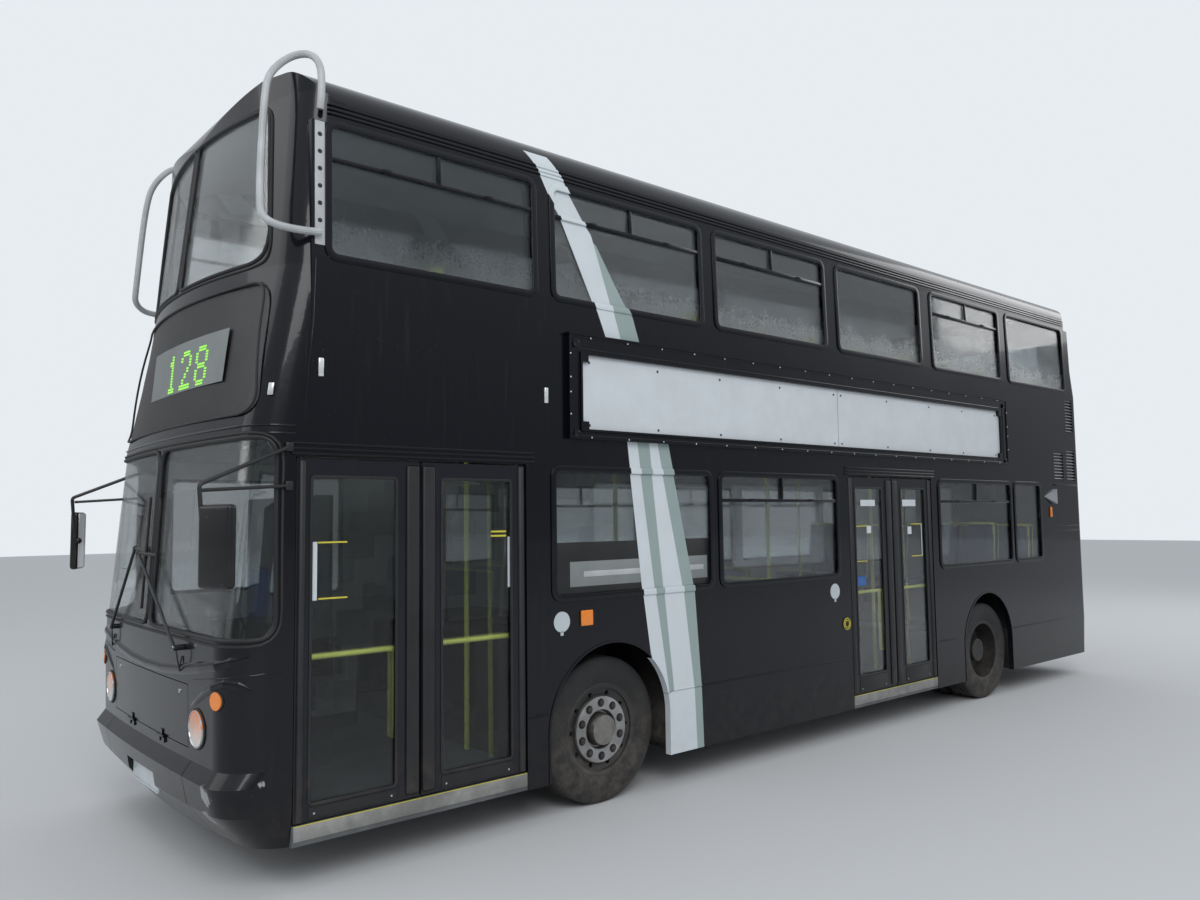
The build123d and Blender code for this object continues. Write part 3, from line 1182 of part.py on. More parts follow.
def rear_lamps():
    """The two upright lamp clusters on the rear panel."""
    with BuildPart() as pair:
        end_wall(REAR_ROWS, *REAR_LAMP_Z, SIDE_REAR_X, -FIT, -1, outer=-REAR_LAMP_HEIGHT)
        with BuildSketch(Plane.YZ.offset(-5200)):
            for side in (1, -1):
                with Locations((side * REAR_LAMP_Y, sum(REAR_LAMP_Z) / 2)):
                    RectangleRounded(REAR_LAMP_WIDTH, REAR_LAMP_Z[1] - REAR_LAMP_Z[0], 20)
        extrude(amount=400, mode=Mode.INTERSECT)
    return pair.part


with BuildPart() as lamps:
    add(headlamps())
    add(rear_lamps())
    for side in (1, -1):
        indicator(side, INDICATOR_DEPTH - FIT, -INDICATOR_HEIGHT, INDICATOR_RADIUS - FIT)
finish(lamps.part, "lamps")

# Seats: a bench profile of pedestal, cushion and back
SEAT_WIDTH = (345.0, 1195.0)
CUSHION_Z = 430.0
BACK_Z = 1020.0


def seat_row(x, side, floor_z, foot_z):
    """One double seat facing forward, with the cushion's rear edge at x and its pedestal from foot_z."""
    low = sorted((side * SEAT_WIDTH[0], side * SEAT_WIDTH[1]))
    with BuildSketch(Plane.XZ.offset(-low[1])) as profile:
        with BuildLine():
            top, under = floor_z + CUSHION_Z, floor_z + CUSHION_Z - 80
            Polyline((x + 60, foot_z + FIT), (x + 300, foot_z + FIT), (x + 300, under), (x + 430, under),
                     (x + 430, top), (x, top), (x - 90, floor_z + BACK_Z), (x - 140, floor_z + BACK_Z),
                     (x - 55, under), (x + 60, under), close=True)
        make_face()
    extrude(profile.sketch, amount=low[1] - low[0])


UPPER_ROWS = [3850 - 735 * i for i in range(12)]
# Lower seats: x, floor height, foot height, sides
LOWER_ROWS = [(1250, LOWER_FLOOR_Z, LOWER_FLOOR_Z, (1, -1)), (520, LOWER_FLOOR_Z, LOWER_FLOOR_Z, (1, -1)),
              (-700, LOWER_FLOOR_Z, LOWER_FLOOR_Z, (-1,)), (-2900, REAR_FLOOR_Z + 30, ARCH_TOP_Z, (1, -1)),
              (-3700, REAR_FLOOR_Z, REAR_FLOOR_Z, (1, -1))]
with BuildPart() as passenger_seats:
    for x in UPPER_ROWS:
        seat_row(x, 1, UPPER_FLOOR_Z, UPPER_FLOOR_Z)
        if not WELL_X[0] - 500 < x < STAIR_FRONT_X:
            seat_row(x, -1, UPPER_FLOOR_Z, UPPER_FLOOR_Z)
    for x, floor_z, foot_z, sides in LOWER_ROWS:
        for side in sides:
            seat_row(x, side, floor_z, foot_z)
finish(passenger_seats.part, "passenger_seats")

# Cab: partition behind the driver, dashboard, seat and steering wheel
CAB_REAR_X = 3985.0
WHEEL_CENTRE = (4560.0, -710.0, 1140.0)
WHEEL_TILT = 25.0
WHEEL_SIZE = (225.0, 14.0)
HUB_HEIGHT = 40.0
COLUMN_LENGTH = 520.0
lean = math.radians(WHEEL_TILT)
column_way = (math.sin(lean), 0, -math.cos(lean))
column_top = tuple(c + w * (HUB_HEIGHT / 2 + FIT) for c, w in zip(WHEEL_CENTRE, column_way))
column_foot = tuple(c + w * COLUMN_LENGTH for c, w in zip(WHEEL_CENTRE, column_way))
with BuildPart() as cab_fittings:
    side_block(-1, (CAB_REAR_X, CAB_REAR_X + 25), (330, INNER_Y - FIT), (LOWER_FLOOR_Z + FIT, 2050))
    side_block(-1, (CAB_REAR_X, 4560), (305, 330), (LOWER_FLOOR_Z + FIT, 1250))
    with BuildSketch(Plane.XZ.offset(360)):
        with BuildLine():
            Polyline((4665, LOWER_FLOOR_Z + FIT), (4850, 900), (4930, 1240), (4840, 1250), (4740, 1100),
                     (4720, 1040), (4760, 980), (4625, LOWER_FLOOR_Z + FIT), close=True)
        make_face()
    extrude(amount=700)
    rod(column_top, column_foot, 28)
finish(cab_fittings.part, "cab_fittings")

with BuildPart() as driver_seat:
    with BuildSketch(Plane.XZ.offset(480)):
        with BuildLine():
            Polyline((4150, LOWER_FLOOR_Z + FIT), (4320, LOWER_FLOOR_Z + FIT), (4320, 740), (4450, 760),
                     (4450, 860), (4100, 840), (4050, 1560), (4022, 1560), (4030, 740), (4150, 740),
                     close=True)
        make_face()
    extrude(amount=460)
finish(driver_seat.part, "driver_seat")

with BuildPart() as steering_wheel:
    with BuildSketch(Plane.XZ):
        with Locations((WHEEL_SIZE[0], 0)):
            Circle(WHEEL_SIZE[1])
    revolve(axis=Axis.Z)
    Cylinder(32, HUB_HEIGHT)
    for turn in (0, 90, 180):
        with Locations(Location((0, 0, 0), (0, 0, turn))):
            with Locations((WHEEL_SIZE[0] / 2, 0, 0)):
                Box(WHEEL_SIZE[0] - 4, 24, 10)
tilted = Location(WHEEL_CENTRE, (0, -WHEEL_TILT, 0))
finish(steering_wheel.part.moved(tilted), "steering_wheel")

# Handrails: posts from floor to ceiling on both decks
POLE_RADIUS = 17.0
with BuildPart() as handrails:
    for x, y in ((1780, 500), (1780, -500), (0, 560), (-1640, 560), (1050, -325), (3150, 500)):
        rod((x, y, LOWER_FLOOR_Z + FIT), (x, y, CEILING_Z - FIT), POLE_RADIUS)
finish(handrails.part, "handrails")
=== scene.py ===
# %% [markdown]
# # A double decker bus
#
# The bus stands on a pale studio floor. Its construction comes from a fixed frame of CAD nodes, and this
# script dresses them with paint, glass, rubber, trim and the small fittings that show from a step away.
# Every length is in metres. X points forward, Y to the side with the doors, Z up, and the ground is Z = 0.

# %% Loading the frame
import math

import bmesh
import bpy
from mathutils import Matrix, Vector


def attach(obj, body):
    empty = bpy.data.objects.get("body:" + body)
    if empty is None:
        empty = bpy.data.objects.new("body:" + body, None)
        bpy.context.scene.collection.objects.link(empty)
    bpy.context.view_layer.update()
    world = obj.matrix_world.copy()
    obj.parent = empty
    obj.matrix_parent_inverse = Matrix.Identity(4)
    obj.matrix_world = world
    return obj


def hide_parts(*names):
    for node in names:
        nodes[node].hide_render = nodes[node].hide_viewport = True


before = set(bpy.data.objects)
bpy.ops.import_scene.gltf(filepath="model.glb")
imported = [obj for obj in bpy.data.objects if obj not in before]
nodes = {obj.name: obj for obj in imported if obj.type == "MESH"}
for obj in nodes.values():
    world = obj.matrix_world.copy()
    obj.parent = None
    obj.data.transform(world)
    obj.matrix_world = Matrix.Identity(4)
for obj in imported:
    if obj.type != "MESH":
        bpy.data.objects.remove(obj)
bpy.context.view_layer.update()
print("nodes in the frame:", len(nodes))

# %% [markdown]
# ## The camera
#
# The photograph was taken from the ground beside the front door. The camera's place, its two angles and its
# slight roll were solved from measured points of the bus, so the render and the photograph can be laid over
# each other. A camera matrix is built from three axes, which is clearer than chained rotations.

# %% Camera
def add_object(name, data):
    """A new object in the scene, which shows the given data."""
    made = bpy.data.objects.new(name, data)
    bpy.context.scene.collection.objects.link(made)
    return made


FOCAL_PX = 928.046
FRAME_PX = 1200.0
SENSOR_MM = 36.0
CAMERA_AT = Vector((6.62181, 5.91829, 1.87591))
CAMERA_YAW = math.radians(229.1233)
CAMERA_PITCH = math.radians(4.1985)
CAMERA_ROLL = -0.0124991
VIEW_LIMIT = 200


def camera_matrix():
    """World matrix of a camera that looks along its yaw and pitch, turned a little by its roll."""
    forward = Vector((math.cos(CAMERA_PITCH) * math.cos(CAMERA_YAW),
                      math.cos(CAMERA_PITCH) * math.sin(CAMERA_YAW), math.sin(CAMERA_PITCH)))
    right = forward.cross(Vector((0, 0, 1))).normalized()
    up = right.cross(forward)
    across = math.cos(CAMERA_ROLL) * right + math.sin(CAMERA_ROLL) * up
    upward = math.cos(CAMERA_ROLL) * up - math.sin(CAMERA_ROLL) * right
    axes = Matrix((across, upward, -forward)).transposed().to_4x4()
    return Matrix.Translation(CAMERA_AT) @ axes


camera_data = bpy.data.cameras.new("camera")
camera_data.sensor_width = SENSOR_MM
camera_data.lens = FOCAL_PX / FRAME_PX * SENSOR_MM
camera_data.clip_end = VIEW_LIMIT
camera = add_object("camera", camera_data)
camera.matrix_world = camera_matrix()
bpy.context.scene.camera = camera
print("lens", round(camera_data.lens, 3), "mm")

# %% [markdown]
# ## A small vocabulary for materials
#
# Each finish is a node tree. These helpers keep a tree readable: one makes a node and wires its inputs by
# name, others make the sums, mixes and noises that every finish needs.

# %% Node helpers
def feed(tree, socket, value):
    """Sets a socket to a value, or links it to the socket that gives the value."""
    if isinstance(value, bpy.types.NodeSocket):
        tree.links.new(value, socket)
    else:
        socket.default_value = value


def node(tree, kind, **inputs):
    """Adds a node. An input goes by its name, or by its number after an underscore."""
    made = tree.nodes.new("ShaderNode" + kind)
    for key, value in inputs.items():
        place = int(key[1:]) if key[0] == "_" else key.replace("_", " ")
        feed(tree, made.inputs[place], value)
    return made


def maths(tree, operation, *values):
    """A Math node, as its output socket."""
    made = tree.nodes.new("ShaderNodeMath")
    made.operation = operation
    for socket, value in zip(made.inputs, values):
        feed(tree, socket, value)
    return made.outputs[0]


def times(tree, a, b):
    """The product of two values."""
    return maths(tree, "MULTIPLY", a, b)


def plus(tree, a, b):
    """The sum of two values."""
    return maths(tree, "ADD", a, b)


# %% Mixes and noise
def mixed(tree, factor, a, b):
    """A colour mix of a and b, as its output socket."""
    made = tree.nodes.new("ShaderNodeMix")
    made.data_type = "RGBA"
    # A Mix node has its colours at inputs 6 and 7 and its colour result at output 2
    for place, value in ((0, factor), (6, a), (7, b)):
        feed(tree, made.inputs[place], value)
    return made.outputs[2]


def ranged(tree, value, low, high, to_low=0.0, to_high=1.0):
    """Maps low..high to to_low..to_high, clamped and smooth."""
    made = node(tree, "MapRange", _0=value, _1=low, _2=high, _3=to_low, _4=to_high)
    made.interpolation_type = "SMOOTHSTEP"
    return made.outputs[0]


def noise(tree, where, scale, detail=4.0, rough=0.55):
    """A noise texture's value at the position where."""
    return node(tree, "TexNoise", Vector=where, Scale=scale, Detail=detail, Roughness=rough).outputs[0]


def stretched(tree, where, x, y, z):
    """The position where, scaled along each axis."""
    made = node(tree, "VectorMath", _0=where, _1=(x, y, z))
    made.operation = "MULTIPLY"
    return made.outputs[0]


# %% Groups and materials
def new_group(name, inputs, outputs):
    """An empty node group with float or colour sockets, and its input and output nodes."""
    group = bpy.data.node_groups.new(name, "ShaderNodeTree")
    for socket_name, value in inputs.items():
        kind = "NodeSocketFloat" if isinstance(value, float) else "NodeSocketColor"
        socket = group.interface.new_socket(socket_name, in_out="INPUT", socket_type=kind)
        socket.default_value = value
    for socket_name in outputs:
        group.interface.new_socket(socket_name, in_out="OUTPUT", socket_type="NodeSocketFloat")
    return group, group.nodes.new("NodeGroupInput"), group.nodes.new("NodeGroupOutput")


def placed_group(tree, group, **inputs):
    """A node group placed in a tree."""
    made = tree.nodes.new("ShaderNodeGroup")
    made.node_tree = group
    for key, value in inputs.items():
        feed(tree, made.inputs[key.replace("_", " ")], value)
    return made


def new_material(name, **settings):
    """A material with one Principled BSDF, set by socket name; returns material, tree and shader."""
    material = bpy.data.materials.new(name)
    material.use_nodes = True
    tree = material.node_tree
    shader = tree.nodes["Principled BSDF"]
    for key, value in settings.items():
        shader.inputs[key.replace("_", " ")].default_value = value
    return material, tree, shader


def bumped(tree, shader, height, strength, distance):
    """Feeds a height to the shader's normal through a Bump node."""
    bump = node(tree, "Bump", Height=height, Strength=strength, Distance=distance)
    tree.links.new(bump.outputs[0], shader.inputs["Normal"])


def object_position(tree):
    """Object coordinates, which are the bus's own coordinates because every piece sits at the origin."""
    return tree.nodes.new("ShaderNodeTexCoord").outputs["Object"]


def heights(tree, where):
    """X, Y and Z of a position, as three sockets."""
    parts = node(tree, "SeparateXYZ", Vector=where)
    return parts.outputs[0], parts.outputs[1], parts.outputs[2]


# %% [markdown]
# ## Road dirt
#
# A bus that has stood outdoors for long carries dust low on its sides, thin dried runs down its panels, and
# small chips. They could be painted on a picture. Here all three are masks from noise in the bus's own
# coordinates, so one group serves every outside finish, each with its own amounts.

# %% Dirt group
# The dust fades from none at the first height to full at the second
DUST_FADE = (1.15, 0.45)
dirt_group, dirt_in, dirt_out = new_group(
    "road_dirt", {"Low dust": 0.5, "Runs": 0.3, "Chips": 0.1}, ["Dust", "Runs", "Chips"])


def fill_dirt_group(tree):
    """Wires the three masks of the dirt group."""
    where = object_position(tree)
    _, _, height = heights(tree, where)
    cloud = noise(tree, where, 2.2, 6.0, 0.62)
    low = ranged(tree, plus(tree, height, times(tree, cloud, 0.5)), *DUST_FADE)
    speckle = ranged(tree, noise(tree, where, 11.0, 6.0, 0.65), 0.30, 0.80)
    dust = times(tree, times(tree, low, speckle), dirt_in.outputs["Low dust"])
    streak = noise(tree, stretched(tree, where, 9.0, 9.0, 0.55), 4.0, 5.0, 0.6)
    runs = times(tree, ranged(tree, streak, 0.56, 0.74), dirt_in.outputs["Runs"])
    grain = noise(tree, where, 60.0, 3.0, 0.5)
    patch = noise(tree, where, 3.0, 2.0, 0.5)
    chips = times(tree, ranged(tree, grain, 0.70, 0.74), ranged(tree, patch, 0.5, 0.62))
    chips = times(tree, chips, dirt_in.outputs["Chips"])
    for name, value in (("Dust", dust), ("Runs", runs), ("Chips", chips)):
        tree.links.new(value, dirt_out.inputs[name])


fill_dirt_group(dirt_group)
print("dirt group sockets:", [s.name for s in dirt_group.interface.items_tree])

# %% [markdown]
# ## The livery
#
# Pale bands sweep down the side behind the first window: a white one and a grey wedge above, then white,
# grey, white and grey below. They run over panels, pillars and mouldings alike, so on paint the bands are a
# mask. Each edge is a curve that gives X for a height Z, which is exactly what a Float Curve node does, and
# a point belongs to a band when its X lies between two edges.

# %% Edges of the bands
# A Float Curve runs from 0 to 1, so lengths are divided by this span on the way in and multiplied after
LIVERY_SPAN = 5.0
BANDS_FROM_Y = 1.0
UPPER_BAND_Z = (3.09, 4.243)
LOWER_BAND_Z = (0.2, 2.392)
# Each edge of the bands, from the roof down: pairs of x and z
UPPER_EDGES = {
    "white front": [(3.19, 4.26), (3.08, 4.143), (2.984, 3.972), (2.9, 3.868), (2.767, 3.6), (2.592, 3.246),
                    (2.52, 3.08)],
    "white rear": [(3.0, 4.26), (2.887, 4.133), (2.81, 4.026), (2.684, 3.85), (2.624, 3.783), (2.384, 3.08)],
    "grey rear": [(3.0, 4.26), (2.887, 4.133), (2.81, 4.026), (2.684, 3.85), (2.624, 3.783), (2.381, 3.41),
                  (2.276, 3.265), (2.21, 3.08)],
}
LOWER_EDGES = {
    "first": [(2.336, 2.34), (2.216, 1.37), (2.105, 0.65), (2.02, 0.2)],
    "second": [(2.242, 2.34), (2.097, 1.37), (1.977, 0.665), (2.02, 0.655), (2.02, 0.2)],
    "third": [(2.130, 2.34), (2.013, 1.37), (1.93, 0.665), (2.02, 0.655), (2.02, 0.2)],
    "fourth": [(2.043, 2.34), (1.819, 1.37), (1.724, 0.65), (1.705, 0.2)],
    "fifth": [(1.934, 2.34), (1.706, 1.37), (1.65, 0.65), (1.636, 0.2)],
}


# %% Livery group
def edge_curve(tree, height, points):
    """X of a band's edge at a height, from a Float Curve with straight stretches."""
    made = node(tree, "FloatCurve", Value=maths(tree, "DIVIDE", height, LIVERY_SPAN))
    curve = made.mapping.curves[0]
    low_to_high = sorted(points, key=lambda point: point[1])
    for index, (x, z) in enumerate(low_to_high):
        spot = (z / LIVERY_SPAN, x / LIVERY_SPAN)
        if index < 2:
            curve.points[index].location = spot
        else:
            curve.points.new(*spot)
    for point in curve.points:
        point.handle_type = "VECTOR"
    made.mapping.update()
    return times(tree, made.outputs[0], LIVERY_SPAN)


def between(tree, value, low, high):
    """1 where value lies between low and high."""
    return times(tree, maths(tree, "GREATER_THAN", value, low), maths(tree, "LESS_THAN", value, high))


livery_group, _, livery_out = new_group("livery_bands", {}, ["White", "Grey"])


def fill_livery_group(tree):
    """Wires the white and grey masks of the livery."""
    x, y, z = heights(tree, object_position(tree))
    on_side = maths(tree, "GREATER_THAN", maths(tree, "ABSOLUTE", y), BANDS_FROM_Y)
    upper = times(tree, on_side, between(tree, z, *UPPER_BAND_Z))
    lower = times(tree, on_side, between(tree, z, *LOWER_BAND_Z))
    up = {name: edge_curve(tree, z, points) for name, points in UPPER_EDGES.items()}
    down = {name: edge_curve(tree, z, points) for name, points in LOWER_EDGES.items()}
    white_up = times(tree, upper, between(tree, x, up["white rear"], up["white front"]))
    grey_up = times(tree, upper, between(tree, x, up["grey rear"], up["white rear"]))
    white_down = plus(tree, between(tree, x, down["second"], down["first"]),
                      between(tree, x, down["fourth"], down["third"]))
    grey_down = plus(tree, between(tree, x, down["third"], down["second"]),
                     between(tree, x, down["fifth"], down["fourth"]))
    white = plus(tree, white_up, times(tree, lower, white_down))
    grey = plus(tree, grey_up, times(tree, lower, grey_down))
    tree.links.new(white, livery_out.inputs["White"])
    tree.links.new(grey, livery_out.inputs["Grey"])


fill_livery_group(livery_group)
print("edges of the bands:", len(UPPER_EDGES) + len(LOWER_EDGES))

# %% [markdown]
# ## Paint, glass and the other finishes
#
# The paint is black with a clear coat. Its roughness wanders a little and its surface has the faint ripple
# of sprayed panels. Chips and scrapes show primer, the bands lie over them, and dust lies over all of it.

# %% Colours and scrapes
BLACK = (0.0025, 0.003, 0.006, 1)
BAND_WHITE = (0.62, 0.67, 0.70, 1)
BAND_GREY = (0.30, 0.37, 0.365, 1)
DUST = (0.16, 0.13, 0.10, 1)
PRIMER = (0.30, 0.31, 0.31, 1)
# Places and sizes of the scrapes on the bumper's near corner
SCUFFS = [((5.03, 1.05, 0.52), 0.11), ((4.98, 0.99, 0.40), 0.11), ((4.83, 1.25, 0.58), 0.045)]
SCUFF_EDGE = (0.78, 0.84)


def scuffed(tree, where):
    """Mask of the scrapes on the bumper's near corner: rough patches round a few places."""
    mask = 0.0
    torn = noise(tree, stretched(tree, where, 1.0, 1.0, 0.5), 48.0, 8.0, 0.75)
    for place, size in SCUFFS:
        offset = node(tree, "VectorMath", _0=where, _1=place)
        offset.operation = "DISTANCE"
        near = times(tree, ranged(tree, offset.outputs["Value"], size, size * 0.1), 0.45)
        mask = maths(tree, "MAXIMUM", mask, ranged(tree, plus(tree, near, torn), *SCUFF_EDGE))
    return mask


# %% Body paint
def make_paint(name, base, low_dust, runs, chips, with_bands=True, gloss=0.16):
    """Coach paint with dirt and chips, and on the body with the scrapes and the bands too."""
    material, tree, shader = new_material(name, Coat_Weight=0.35, Coat_Roughness=0.05, IOR=1.45,
                                          Specular_IOR_Level=0.22)
    where = object_position(tree)
    dirt = placed_group(tree, dirt_group, Low_dust=low_dust, Runs=runs, Chips=chips)
    colour = mixed(tree, dirt.outputs["Chips"], base, PRIMER)
    band_share = 0.0
    if with_bands:
        colour = mixed(tree, scuffed(tree, where), colour, PRIMER)
        livery = placed_group(tree, livery_group)
        colour = mixed(tree, livery.outputs["White"], colour, BAND_WHITE)
        colour = mixed(tree, livery.outputs["Grey"], colour, BAND_GREY)
        band_share = plus(tree, livery.outputs["White"], livery.outputs["Grey"])
    colour = mixed(tree, times(tree, dirt.outputs["Runs"], 0.25), colour, DUST)
    colour = mixed(tree, dirt.outputs["Dust"], colour, DUST)
    tree.links.new(colour, shader.inputs["Base Color"])
    haze = noise(tree, where, 1.3, 4.0, 0.6)
    rough = plus(tree, gloss, times(tree, haze, 0.12))
    for mask, share in ((dirt.outputs["Dust"], 0.5), (dirt.outputs["Runs"], 0.2), (band_share, 0.15)):
        rough = plus(tree, rough, times(tree, mask, share))
    tree.links.new(rough, shader.inputs["Roughness"])
    ripple = noise(tree, where, 1.6, 2.0, 0.5)
    bumped(tree, shader, ripple, 0.25, 0.004)
    return material


body_paint = make_paint("body_paint", BLACK, 0.10, 0.14, 0.05)
door_paint = make_paint("door_paint", (0.008, 0.009, 0.014, 1), 0.12, 0.15, 0.06, with_bands=False, gloss=0.3)
print("paints:", body_paint.name, door_paint.name)


# %% [markdown]
# ## Plain finishes and glass
#
# Rubber, plastic and metal are never one flat value, so colour, roughness and surface all wander with noise.
# Glass lets light through and also has an alpha below 1, which keeps the inside visible through two panes.
# Damp stands on the upper panes: a mask whitens and dulls them, because real drops would be far too many.

# %% Finish helper
GRAIN_DEPTH = 0.0006


def make_plain(name, colour, rough, rough_wander=0.1, metallic=0.0, grain_scale=60.0, grain=0.2,
               tint=0.25, dust=0.0, **settings):
    """A finish whose colour, roughness and surface all wander a little, with optional dust."""
    material, tree, shader = new_material(name, Metallic=metallic, **settings)
    where = object_position(tree)
    broad = noise(tree, where, 5.0, 5.0, 0.6)
    fine = noise(tree, where, grain_scale, 4.0, 0.6)
    dark = tuple(c * (1 - tint) for c in colour[:3]) + (1,)
    light = tuple(min(1.0, c * (1 + tint)) for c in colour[:3]) + (1,)
    shade = mixed(tree, ranged(tree, broad, 0.3, 0.7), dark, light)
    if dust:
        dirt = placed_group(tree, dirt_group, Low_dust=dust, Runs=0.0, Chips=0.0)
        shade = mixed(tree, dirt.outputs["Dust"], shade, DUST)
    tree.links.new(shade, shader.inputs["Base Color"])
    wander = times(tree, maths(tree, "SUBTRACT", fine, 0.5), rough_wander)
    tree.links.new(plus(tree, rough, wander), shader.inputs["Roughness"])
    bumped(tree, shader, fine, grain, GRAIN_DEPTH)
    return material


GLASS_ROUGHNESS = 0.02
DAMP_WHITE = (0.75, 0.80, 0.82, 1)
# Only panes above the first height are damp, and the damp rises from the second, which is their foot
DAMP_FROM_Z = 3.2
PANE_FOOT_Z = 3.30


def make_glass(name, colour, fog, alpha):
    """Tinted pane. fog whitens and dulls it, most in streaks that stand on the upper panes' lower edges."""
    material, tree, shader = new_material(name, IOR=1.45, Transmission_Weight=1.0)
    where = object_position(tree)
    _, _, z = heights(tree, where)
    streak = noise(tree, stretched(tree, where, 11.0, 11.0, 2.2), 3.0, 6.0, 0.7)
    cloud = noise(tree, where, 4.0, 5.0, 0.6)
    reach = plus(tree, times(tree, streak, 0.28), times(tree, cloud, 0.30))
    above_foot = maths(tree, "SUBTRACT", z, PANE_FOOT_Z)
    damp = ranged(tree, maths(tree, "SUBTRACT", reach, above_foot), -0.10, 0.30)
    drops = ranged(tree, noise(tree, where, 55.0, 3.0, 0.6), 0.35, 0.65, 0.55, 1.0)
    damp = times(tree, damp, drops)
    damp = times(tree, damp, maths(tree, "GREATER_THAN", z, DAMP_FROM_Z))
    film = times(tree, ranged(tree, cloud, 0.35, 0.8), 0.25)
    mask = times(tree, maths(tree, "MAXIMUM", damp, film), fog)
    shade = mixed(tree, mask, colour, DAMP_WHITE)
    tree.links.new(shade, shader.inputs["Base Color"])
    rough = plus(tree, GLASS_ROUGHNESS, times(tree, mask, 0.5))
    tree.links.new(rough, shader.inputs["Roughness"])
    shader.inputs["Alpha"].default_value = alpha
    return material


# %% The finishes
# Panes by colour, damp and alpha; the rest by colour, roughness and how far the roughness wanders
window_glass = make_glass("window_glass", (0.50, 0.58, 0.60, 1), 1.0, alpha=0.6)
screen_glass = make_glass("screen_glass", (0.80, 0.88, 0.87, 1), 0.5, alpha=0.45)
door_glass = make_glass("door_glass", (0.66, 0.73, 0.72, 1), 0.35, alpha=0.5)
rubber = make_plain("rubber", (0.012, 0.012, 0.014, 1), 0.55, 0.2, grain_scale=90.0)
tyre_rubber = make_plain("tyre_rubber", (0.016, 0.016, 0.017, 1), 0.72, 0.2, grain_scale=45.0, dust=0.5)
chassis_black = make_plain("chassis_black", (0.014, 0.013, 0.012, 1), 0.75, 0.2, dust=0.6)
rim_paint = make_plain("rim_paint", (0.022, 0.022, 0.023, 1), 0.5, 0.25, dust=0.5)
wheel_metal = make_plain("wheel_metal", (0.42, 0.42, 0.42, 1), 0.38, 0.3, metallic=0.9, dust=0.4)
floor_vinyl = make_plain("floor_vinyl", (0.10, 0.105, 0.11, 1), 0.55, 0.2, grain_scale=200.0)
seat_cloth = make_plain("seat_cloth", (0.03, 0.05, 0.12, 1), 0.9, 0.1, grain_scale=400.0, grain=0.5)
cab_trim = make_plain("cab_trim", (0.035, 0.036, 0.038, 1), 0.6, 0.2, grain_scale=250.0)
rail_yellow = make_plain("rail_yellow", (0.66, 0.72, 0.16, 1), 0.35, 0.1, tint=0.08)
guard_grey = make_plain("guard_grey", (0.42, 0.44, 0.45, 1), 0.42, 0.2, tint=0.12)
board_white = make_plain("board_white", (0.60, 0.64, 0.67, 1), 0.4, 0.15, tint=0.04)
black_plastic = make_plain("black_plastic", (0.012, 0.012, 0.013, 1), 0.42, 0.2, grain_scale=180.0)
engine_iron = make_plain("engine_iron", (0.05, 0.048, 0.045, 1), 0.7, 0.2, metallic=0.4)
lamp_clear = make_plain("lamp_clear", (0.75, 0.77, 0.76, 1), 0.12, 0.05, metallic=0.6)
lamp_amber = make_plain("lamp_amber", (0.80, 0.22, 0.02, 1), 0.15, 0.05, tint=0.1, Coat_Weight=0.6)
lamp_red = make_plain("lamp_red", (0.42, 0.01, 0.01, 1), 0.15, 0.05, tint=0.1, Coat_Weight=0.6)
chrome = make_plain("chrome", (0.62, 0.63, 0.64, 1), 0.16, 0.1, metallic=1.0, tint=0.08)
hub_metal = make_plain("hub_metal", (0.30, 0.29, 0.27, 1), 0.34, 0.3, metallic=0.9, dust=0.4)
worn_alloy = make_plain("worn_alloy", (0.36, 0.36, 0.35, 1), 0.5, 0.3, metallic=0.7, grain_scale=120.0,
                        dust=0.4)
mirror_shell = make_paint("mirror_shell", (0.012, 0.012, 0.013, 1), 0.0, 0.2, 0.9, with_bands=False,
                          gloss=0.3)
door_rubber = make_plain("door_rubber", (0.012, 0.012, 0.014, 1), 0.48, 0.2, grain_scale=70.0, dust=0.25)
sign_grey = make_plain("sign_grey", (0.20, 0.22, 0.22, 1), 0.5, 0.1, tint=0.06)
laminate = make_plain("laminate", (0.46, 0.48, 0.48, 1), 0.5, 0.15, grain_scale=220.0, tint=0.06)
# The scoop's own pale grey, also laid on the louvre blades as a painted highlight
scoop_and_louvre_highlight_grey = make_plain("scoop_and_louvre_highlight_grey", (0.27, 0.28, 0.30, 1), 0.4, 0.2, tint=0.12)
badge_grey = make_plain("badge_grey", (0.50, 0.55, 0.58, 1), 0.4, 0.1, tint=0.05)
mark_yellow = make_plain("mark_yellow", (0.62, 0.55, 0.05, 1), 0.45, 0.2, tint=0.1)
mark_blue = make_plain("mark_blue", (0.03, 0.12, 0.36, 1), 0.4, 0.1, tint=0.05)
vinyl_white = make_plain("vinyl_white", BAND_WHITE, 0.32, 0.1, tint=0.03)
vinyl_grey = make_plain("vinyl_grey", BAND_GREY, 0.32, 0.1, tint=0.03)
led_green = make_plain("led_green", (0.35, 0.75, 0.10, 1), 0.4, 0.05, tint=0.05,
                       Emission_Color=(0.30, 0.85, 0.10, 1), Emission_Strength=0.7)
print("materials in the file, with the frame's own:", len(bpy.data.materials))

# %% [markdown]
# ## Giving each CAD node its finish
#
# The frame's nodes keep their own shape. Only their material slots change here, so what MuJoCo moves and
# what the camera sees stay the same thing.

